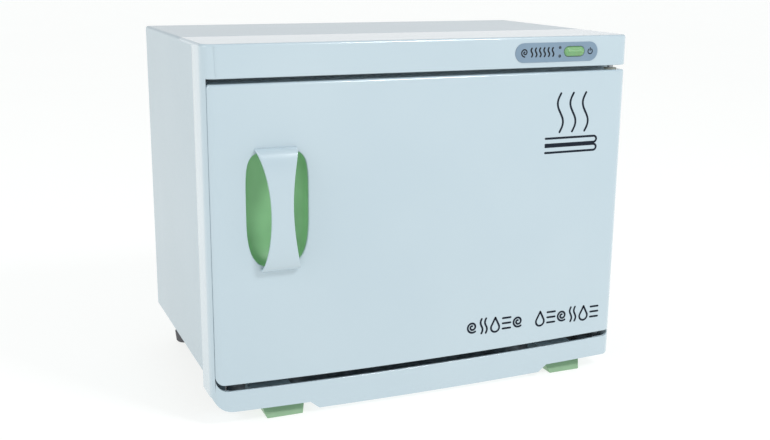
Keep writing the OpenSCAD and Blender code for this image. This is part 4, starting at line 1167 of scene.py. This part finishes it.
class CABINET_OT_handle(bpy.types.Operator):
    """Build the bow handle and the finger cup behind it"""

    bl_idname = "cabinet.handle"
    bl_label = "Handle and finger cup"

    def execute(self, context):
        sizes = context.scene.cabinet_sizes
        low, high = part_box("handle_strap")
        x, _, z = centre("handle_strap")
        half, end = (high.z - low.z) / 2, (high.x - low.x) / 2
        proud, thick, bow, sunk = high.y - low.y, 3 * MM, 2.5, 0.4 * MM
        waist = sizes.strap_waist / 2
        sag = end - waist
        side_r = (half * half + sag * sag) / (2 * sag)

        def reach(turn, shrink):
            """Outward and upward distance of the bow at an angle from 0 to 180 degrees."""
            out = (proud - shrink) * abs(math.sin(turn)) ** (2 / bow)
            rise = -(half - shrink) * math.copysign(abs(math.cos(turn)) ** (2 / bow), math.cos(turn))
            return out, rise

        def half_width(rise):
            return waist + side_r - math.sqrt(max(side_r * side_r - rise * rise, 0))

        # stations evenly spaced along the outer curve
        samples = 2000
        fine = [reach(math.pi * i / samples, 0) for i in range(samples + 1)]
        lengths = [0.0]
        for one, two in zip(fine, fine[1:]):
            lengths.append(lengths[-1] + math.dist(one, two))
        stations, k = 72, 0
        turns = []
        for i in range(stations + 1):
            want = lengths[-1] * i / stations
            while k < samples and lengths[k] < want:
                k += 1
            turns.append(math.pi * k / samples)
        rings = []
        for turn in turns:
            out_a, rise_a = reach(turn, 0)
            out_b, rise_b = reach(turn, thick)
            outer = Vector((0, FRONT - out_a, z + rise_a))
            inner = Vector((0, FRONT - out_b, z + rise_b))
            if turn in (turns[0], turns[-1]):
                outer.y += sunk
                inner.y += sunk
            deep = outer - inner
            # the strap leans a little and widens toward its upper end
            lean = -1.2 * MM * rise_a / half
            w = half_width(rise_a) + 1.3 * MM * max(rise_a / half, 0) ** 3
            ring = []
            for b, t in rounded(lean - w, lean + w, 0, deep.length, sizes.strap_edge, 4):
                crown = 0.25 * MM * (1 - ((b - lean) / w) ** 2) * (t / deep.length)
                ring.append(inner + deep.normalized() * (t - 0.25 * MM + crown if t > thick / 2 else t)
                            + Vector((x + b, 0, 0)))
            rings.append(ring)
        strap = smooth(loft("bow_handle", rings), 50)
        dress(strap, "door", "gloss_white_abs", "white_abs", ["handle_strap"])

        # finger cup: a flange behind the door's wall, and a bowl that closes smoothly
        low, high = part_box("handle_cup")
        flange, wall, deep = 4 * MM, 1.6 * MM, high.y - low.y
        cx, _, cz = centre("handle_cup")

        def scaled(share, grow_by, y):
            return [Vector((cx + (a - cx) * share, y, cz + (b - cz) * share))
                    for a, b in mouth_outline(grow_by)]

        steps, power, front = 14, 2 / 2.7, low.y + 0.05 * MM
        flange_back = low.y + 1.5 * MM

        def bowl(i, grow_by, start, depth):
            """The bowl's section at one of the steps from its mouth to its bottom."""
            turn = math.pi / 2 * i / steps
            share = max(math.cos(turn) ** power, 0.02)
            return scaled(share, grow_by, start + depth * math.sin(turn) ** power)

        rings = [bowl(i, wall * 0.9, flange_back, deep - 1.5 * MM) for i in range(steps, -1, -1)]
        rings += [scaled(1, flange - 0.3 * MM, flange_back), scaled(1, flange, low.y + 1.2 * MM),
                  scaled(1, flange, front), scaled(1, 0.6 * MM, front)]
        rings += [bowl(i, 0, front, deep - wall) for i in range(steps + 1)]
        cup = smooth(loft("finger_cup", rings), 60)
        dress(cup, "door", "satin_green_abs", "green_abs", ["handle_cup"])
        return {"FINISHED"}


def mouth_outline(grow_by=0.0):
    """Outline of the finger cup's mouth as pairs: an upright oval with full, rounded ends.

    Its extent is read from the hole in the door's front wall.
    """
    cup_low, cup_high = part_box("handle_cup")
    rim = [v.co for v in frame["nodes"]["door_outer"].data.vertices
           if abs(v.co.y - FRONT) < 0.01 * MM and cup_low.x < v.co.x < cup_high.x
           and cup_low.z < v.co.z < cup_high.z]
    x0, x1 = min(c.x for c in rim), max(c.x for c in rim)
    z0, z1 = min(c.z for c in rim), max(c.z for c in rim)
    half_w, half_h, steps = (x1 - x0) / 2, (z1 - z0) / 2, 192
    points = []
    for i in range(steps):
        # a little closer together toward the four corners, where the oval bends most
        turn = 2 * math.pi * i / steps
        turn += 0.07 * math.sin(4 * turn)
        c, d = math.cos(turn), math.sin(turn)
        fullness = 5.0 if d > 0 else 3.2
        reach = (abs(c) ** fullness + abs(d) ** fullness) ** (-1 / fullness)
        a, b = half_w * reach * c, half_h * reach * d
        steep = Vector((math.copysign(abs(a / half_w) ** (fullness - 1), a) / half_w,
                        math.copysign(abs(b / half_h) ** (fullness - 1), b) / half_h)).normalized()
        points.append(((x0 + x1) / 2 + a + steep.x * grow_by, (z0 + z1) / 2 + b + steep.y * grow_by))
    return points


# ---------------------------------------------------------------- printed marks


def arc_points(x, z, radius, start_deg, end_deg, steps):
    """Points along an arc."""
    turns = [math.radians(start_deg + (end_deg - start_deg) * i / steps) for i in range(steps + 1)]
    return [(x + radius * math.cos(t), z + radius * math.sin(t)) for t in turns]


def spiral_points(x, z, inner, outer, turns, steps):
    """Points along a flat spiral, as the end of a rolled towel."""
    points = []
    for i in range(steps + 1):
        t = i / steps
        radius = inner + (outer - inner) * t
        turn = 2 * math.pi * turns * t + math.pi / 2
        points.append((x + radius * math.cos(turn), z + radius * math.sin(turn)))
    return points


def wave_points(x, z, height, swing, steps):
    """Points along an upright wave, as rising steam."""
    return [(x + swing * math.sin(2 * math.pi * i / steps), z + height * i / steps)
            for i in range(steps + 1)]


def ribbons(name, strokes, y, thickness):
    """Thin printed strokes with round ends on the plane at depth y, facing the front."""
    shape = bmesh.new()
    steps = 6  # of each round end
    for points, width in strokes:
        points = [Vector(p) for p in points]
        half = width / 2
        left, right = [], []
        for i, p in enumerate(points):
            before = points[max(i - 1, 0)]
            after = points[min(i + 1, len(points) - 1)]
            way = (after - before).normalized()
            side = Vector((-way.y, way.x))
            left.append(p + side * half)
            right.append(p - side * half)
        outline = list(left)
        for start, tip in ((left[-1], points[-1]), (right[0], points[0])):
            if start is right[0]:
                outline += reversed(right)
            arm = start - tip
            for i in range(1, steps):
                turn = -math.pi * i / steps
                outline.append(tip + Vector((arm.x * math.cos(turn) - arm.y * math.sin(turn),
                                             arm.x * math.sin(turn) + arm.y * math.cos(turn))))
        # the strip in quads, then the two round ends as fans
        front = {}

        def corner(p, depth):
            key = (round(p.x, 7), round(p.y, 7), depth)
            if key not in front:
                front[key] = shape.verts.new((p.x, depth, p.y))
            return front[key]

        near, far = y - thickness, y + 0.02 * MM
        n = len(points)
        for depth in (near, far):
            for i in range(n - 1):
                shape.faces.new((corner(left[i], depth), corner(left[i + 1], depth),
                                 corner(right[i + 1], depth), corner(right[i], depth)))
        cap_end = outline[n - 1 : n - 1 + steps] + [right[-1]]
        cap_start = [right[0]] + outline[1 - steps :] + [left[0]]
        for cap in (cap_end, cap_start):
            for depth in (near, far):
                shape.faces.new([corner(p, depth) for p in cap])
        for one, two in zip(outline, outline[1:] + outline[:1]):
            shape.faces.new((corner(one, near), corner(two, near), corner(two, far), corner(one, far)))
    return from_bmesh(name, shape)


class CABINET_OT_door_print(bpy.types.Operator):
    """Print the steam-and-towel emblem and the row of care pictograms on the door"""

    bl_idname = "cabinet.door_print"
    bl_label = "Door print"

    def execute(self, context):
        # the emblem's middle, measured from the door's upper right corner, and its line width
        right = DOOR_HIGH.x
        x, z, w = right - 64 * MM, DOOR_HIGH.z - 68 * MM, 2.3 * MM
        strokes = []
        for step in (-1, 0, 1):  # steam
            strokes.append((wave_points(x + step * 15 * MM, z + 6 * MM, 40 * MM, 3.6 * MM, 28), w))
        # folded stack of two towels
        half, fold_r = 31 * MM, 3.2 * MM
        for base in (z - 15 * MM, z - 6.5 * MM):
            fold = [(x - half, base), (x + half - 4 * MM, base)]
            fold += arc_points(x + half - 4 * MM, base + fold_r, fold_r, -90, 90, 12)[1:]
            strokes.append((fold + [(x - half, base + 2 * fold_r)], w))
        emblem = ribbons("door_emblem", strokes, FRONT, 0.06 * MM)
        dress(emblem, "door", "door_ink", "white_abs")

        # the row of pictograms, with one place left free between its two groups
        strokes = []
        w = 2.2 * MM
        first, pitch, base = right - 173.5 * MM, 13.6 * MM, DOOR_LOW.z + 28.5 * MM
        for i in (0, 1, 2, 3, 4, 6, 7, 8, 9, 10, 11):
            cx, cz, kind = first + pitch * i, base - 0.6 * MM * i / 11, i % 4
            if kind == 0:  # rolled towel
                strokes.append((spiral_points(cx, cz, 1.3 * MM, 6.2 * MM, 1.6, 48), w))
            elif kind == 1:  # steam
                for step in (-2.6, 2.6):
                    strokes.append((wave_points(cx + step * MM, cz - 8 * MM, 16 * MM, 1.3 * MM, 20), w))
            elif kind == 2:  # water drop
                strokes.append((drop_points(cx, cz - 0.4 * MM, 4.9 * MM, 15.8 * MM), w))
            else:  # folded stack
                half = 4.6 * MM
                strokes += [([(cx - half, cz + up * MM), (cx + half, cz + up * MM)], w)
                            for up in (-5.8, 0, 5.8)]
        row = ribbons("door_care_row", strokes, FRONT, 0.06 * MM)
        dress(row, "door", "door_ink", "white_abs")
        return {"FINISHED"}


def drop_points(x, z, radius, tall):
    """Outline of a water drop, standing on its round end."""
    base = z - tall / 2 + radius
    points = [(x, z + tall / 2)]
    points += arc_points(x, base, radius, 150, 390, 26)
    points += [(x + 0.02 * MM, z + tall / 2 - 0.1 * MM)]
    return points


# ---------------------------------------------------------------- stage


class CABINET_OT_stage(bpy.types.Operator):
    """Make the pale floor, the soft lights and the camera"""

    bl_idname = "cabinet.stage"
    bl_label = "Floor, lights and camera"

    def execute(self, context):
        scene = context.scene
        stage = scene.cabinet_stage
        half = 14.0
        mesh = bpy.data.meshes.new("floor")
        mesh.from_pydata([(-half, -half, 0), (half, -half, 0), (half, half, 0), (-half, half, 0)], [],
                         [(0, 1, 2, 3)])
        floor = new_object("floor", mesh)
        # Matt painted board with a little light of its own, as a lit product table.
        paint = bpy.data.materials.new("lit_table")
        paint.use_nodes = True
        tree = paint.node_tree
        tree.nodes.clear()
        where = add(tree, "ShaderNodeTexCoord").outputs["Object"]
        cloud = add(tree, "ShaderNodeTexNoise", {"Vector": where, "Scale": 1.5, "Detail": 2.0})
        tone = add(tree, "ShaderNodeMapRange",
                   {"Value": cloud.outputs["Fac"], "To Min": 0.55, "To Max": 0.65})
        surface = add(tree, "ShaderNodeBsdfPrincipled",
                      {"Base Color": (0.28, 0.28, 0.28, 1), "Roughness": tone.outputs["Result"],
                       "Specular IOR Level": 0.1, "Emission Color": (*stage.floor_white, 1),
                       "Emission Strength": stage.floor_glow})
        add(tree, "ShaderNodeOutputMaterial", {"Surface": surface.outputs["BSDF"]})
        mesh.materials.append(paint)

        world = bpy.data.worlds.new("room")
        scene.world = world
        world.use_nodes = True
        sky = world.node_tree
        sky.nodes.clear()
        way = add(sky, "ShaderNodeTexCoord").outputs["Generated"]
        height = add(sky, "ShaderNodeSeparateXYZ", {"Vector": way}).outputs["Z"]
        fall = add(sky, "ShaderNodeValToRGB", {"Fac": height})
        # white at the horizon, calmer overhead
        for stop, position, value in zip(fall.color_ramp.elements, (0.03, 0.30),
                                         ((1.0, 1.0, 1.0, 1), (0.52, 0.54, 0.56, 1))):
            stop.position, stop.color = position, value
        air = add(sky, "ShaderNodeBackground",
                  {"Color": fall.outputs["Color"], "Strength": stage.room_light})
        add(sky, "ShaderNodeOutputWorld", {"Surface": air.outputs["Background"]})

        middle = (CAD_BOX[0] + CAD_BOX[1]) / 2
        self.soft_light("key_light", Vector((0.95, -1.55, 1.9)), middle, 0.5, stage.key_light)
        self.soft_light("side_light", Vector((-2.1, -0.5, 1.3)), middle, 1.2, stage.side_light)

        lens = bpy.data.cameras.new("camera")
        lens.lens = stage.lens
        lens.sensor_width = 36.0
        lens.clip_start, lens.clip_end = 0.01, 60
        camera = bpy.data.objects.new("camera", lens)
        scene.collection.objects.link(camera)
        # looks a little down on the front's left corner
        place = Vector((-0.43697, -1.05234, 0.4424))
        target = Vector((0.01466, 0.024, 0.15124))
        roll = math.radians(0.5075)
        ahead = (target - place).normalized()
        right = ahead.cross(Vector((0, 0, 1))).normalized()
        up = right.cross(ahead)
        right, up = (math.cos(roll) * right + math.sin(roll) * up,
                     -math.sin(roll) * right + math.cos(roll) * up)
        camera.matrix_world = Matrix(((right.x, up.x, -ahead.x, place.x),
                                      (right.y, up.y, -ahead.y, place.y),
                                      (right.z, up.z, -ahead.z, place.z), (0, 0, 0, 1)))
        scene.camera = camera
        scene.view_settings.view_transform = "Standard"
        scene.view_settings.look = "None"
        return {"FINISHED"}

    @staticmethod
    def soft_light(name, place, target, size, power):
        """A square soft light that faces the target."""
        data = bpy.data.lights.new(name, "AREA")
        data.size = size
        data.energy = power
        lamp = bpy.data.objects.new(name, data)
        bpy.context.scene.collection.objects.link(lamp)
        lamp.location = place
        lamp.rotation_euler = (target - place).to_track_quat("-Z", "Y").to_euler()


GROUPS = {"cabinet_sizes": CabinetSizes, "cabinet_colours": CabinetColours, "cabinet_stage": CabinetStage}

BUILDERS = (
    CABINET_OT_finishes,
    CABINET_OT_front_frame,
    CABINET_OT_case,
    CABINET_OT_chamber,
    CABINET_OT_racks,
    CABINET_OT_controls,
    CABINET_OT_button,
    CABINET_OT_hinges,
    CABINET_OT_feet,
    CABINET_OT_power_inlet,
    CABINET_OT_screws,
    CABINET_OT_door,
    CABINET_OT_door_back,
    CABINET_OT_handle,
    CABINET_OT_door_print,
    CABINET_OT_stage,
)


class CABINET_PT_panel(bpy.types.Panel):
    """Lists the cabinet's sizes, colours and builders"""

    bl_idname = "CABINET_PT_panel"
    bl_label = "Hot towel cabinet"
    bl_space_type = "VIEW_3D"
    bl_region_type = "UI"
    bl_category = "Cabinet"

    def draw(self, context):
        for group in GROUPS:
            settings = getattr(context.scene, group)
            box = self.layout.box()
            for key in settings.__annotations__:
                box.prop(settings, key)
        for builder in BUILDERS:
            self.layout.operator(builder.bl_idname)


CLASSES = (*GROUPS.values(), *BUILDERS, CABINET_PT_panel)


def register():
    """Registers every class and the three groups of settings."""
    for one in CLASSES:
        bpy.utils.register_class(one)
    for key, group in GROUPS.items():
        setattr(bpy.types.Scene, key, bpy.props.PointerProperty(type=group))


def unregister():
    """Takes back what register did."""
    for key in GROUPS:
        delattr(bpy.types.Scene, key)
    for one in reversed(CLASSES):
        bpy.utils.unregister_class(one)


def main():
    """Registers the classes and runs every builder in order."""
    register()
    for builder in BUILDERS:
        group, name = builder.bl_idname.split(".")
        getattr(getattr(bpy.ops, group), name)()


if __name__ == "__main__":
    main()
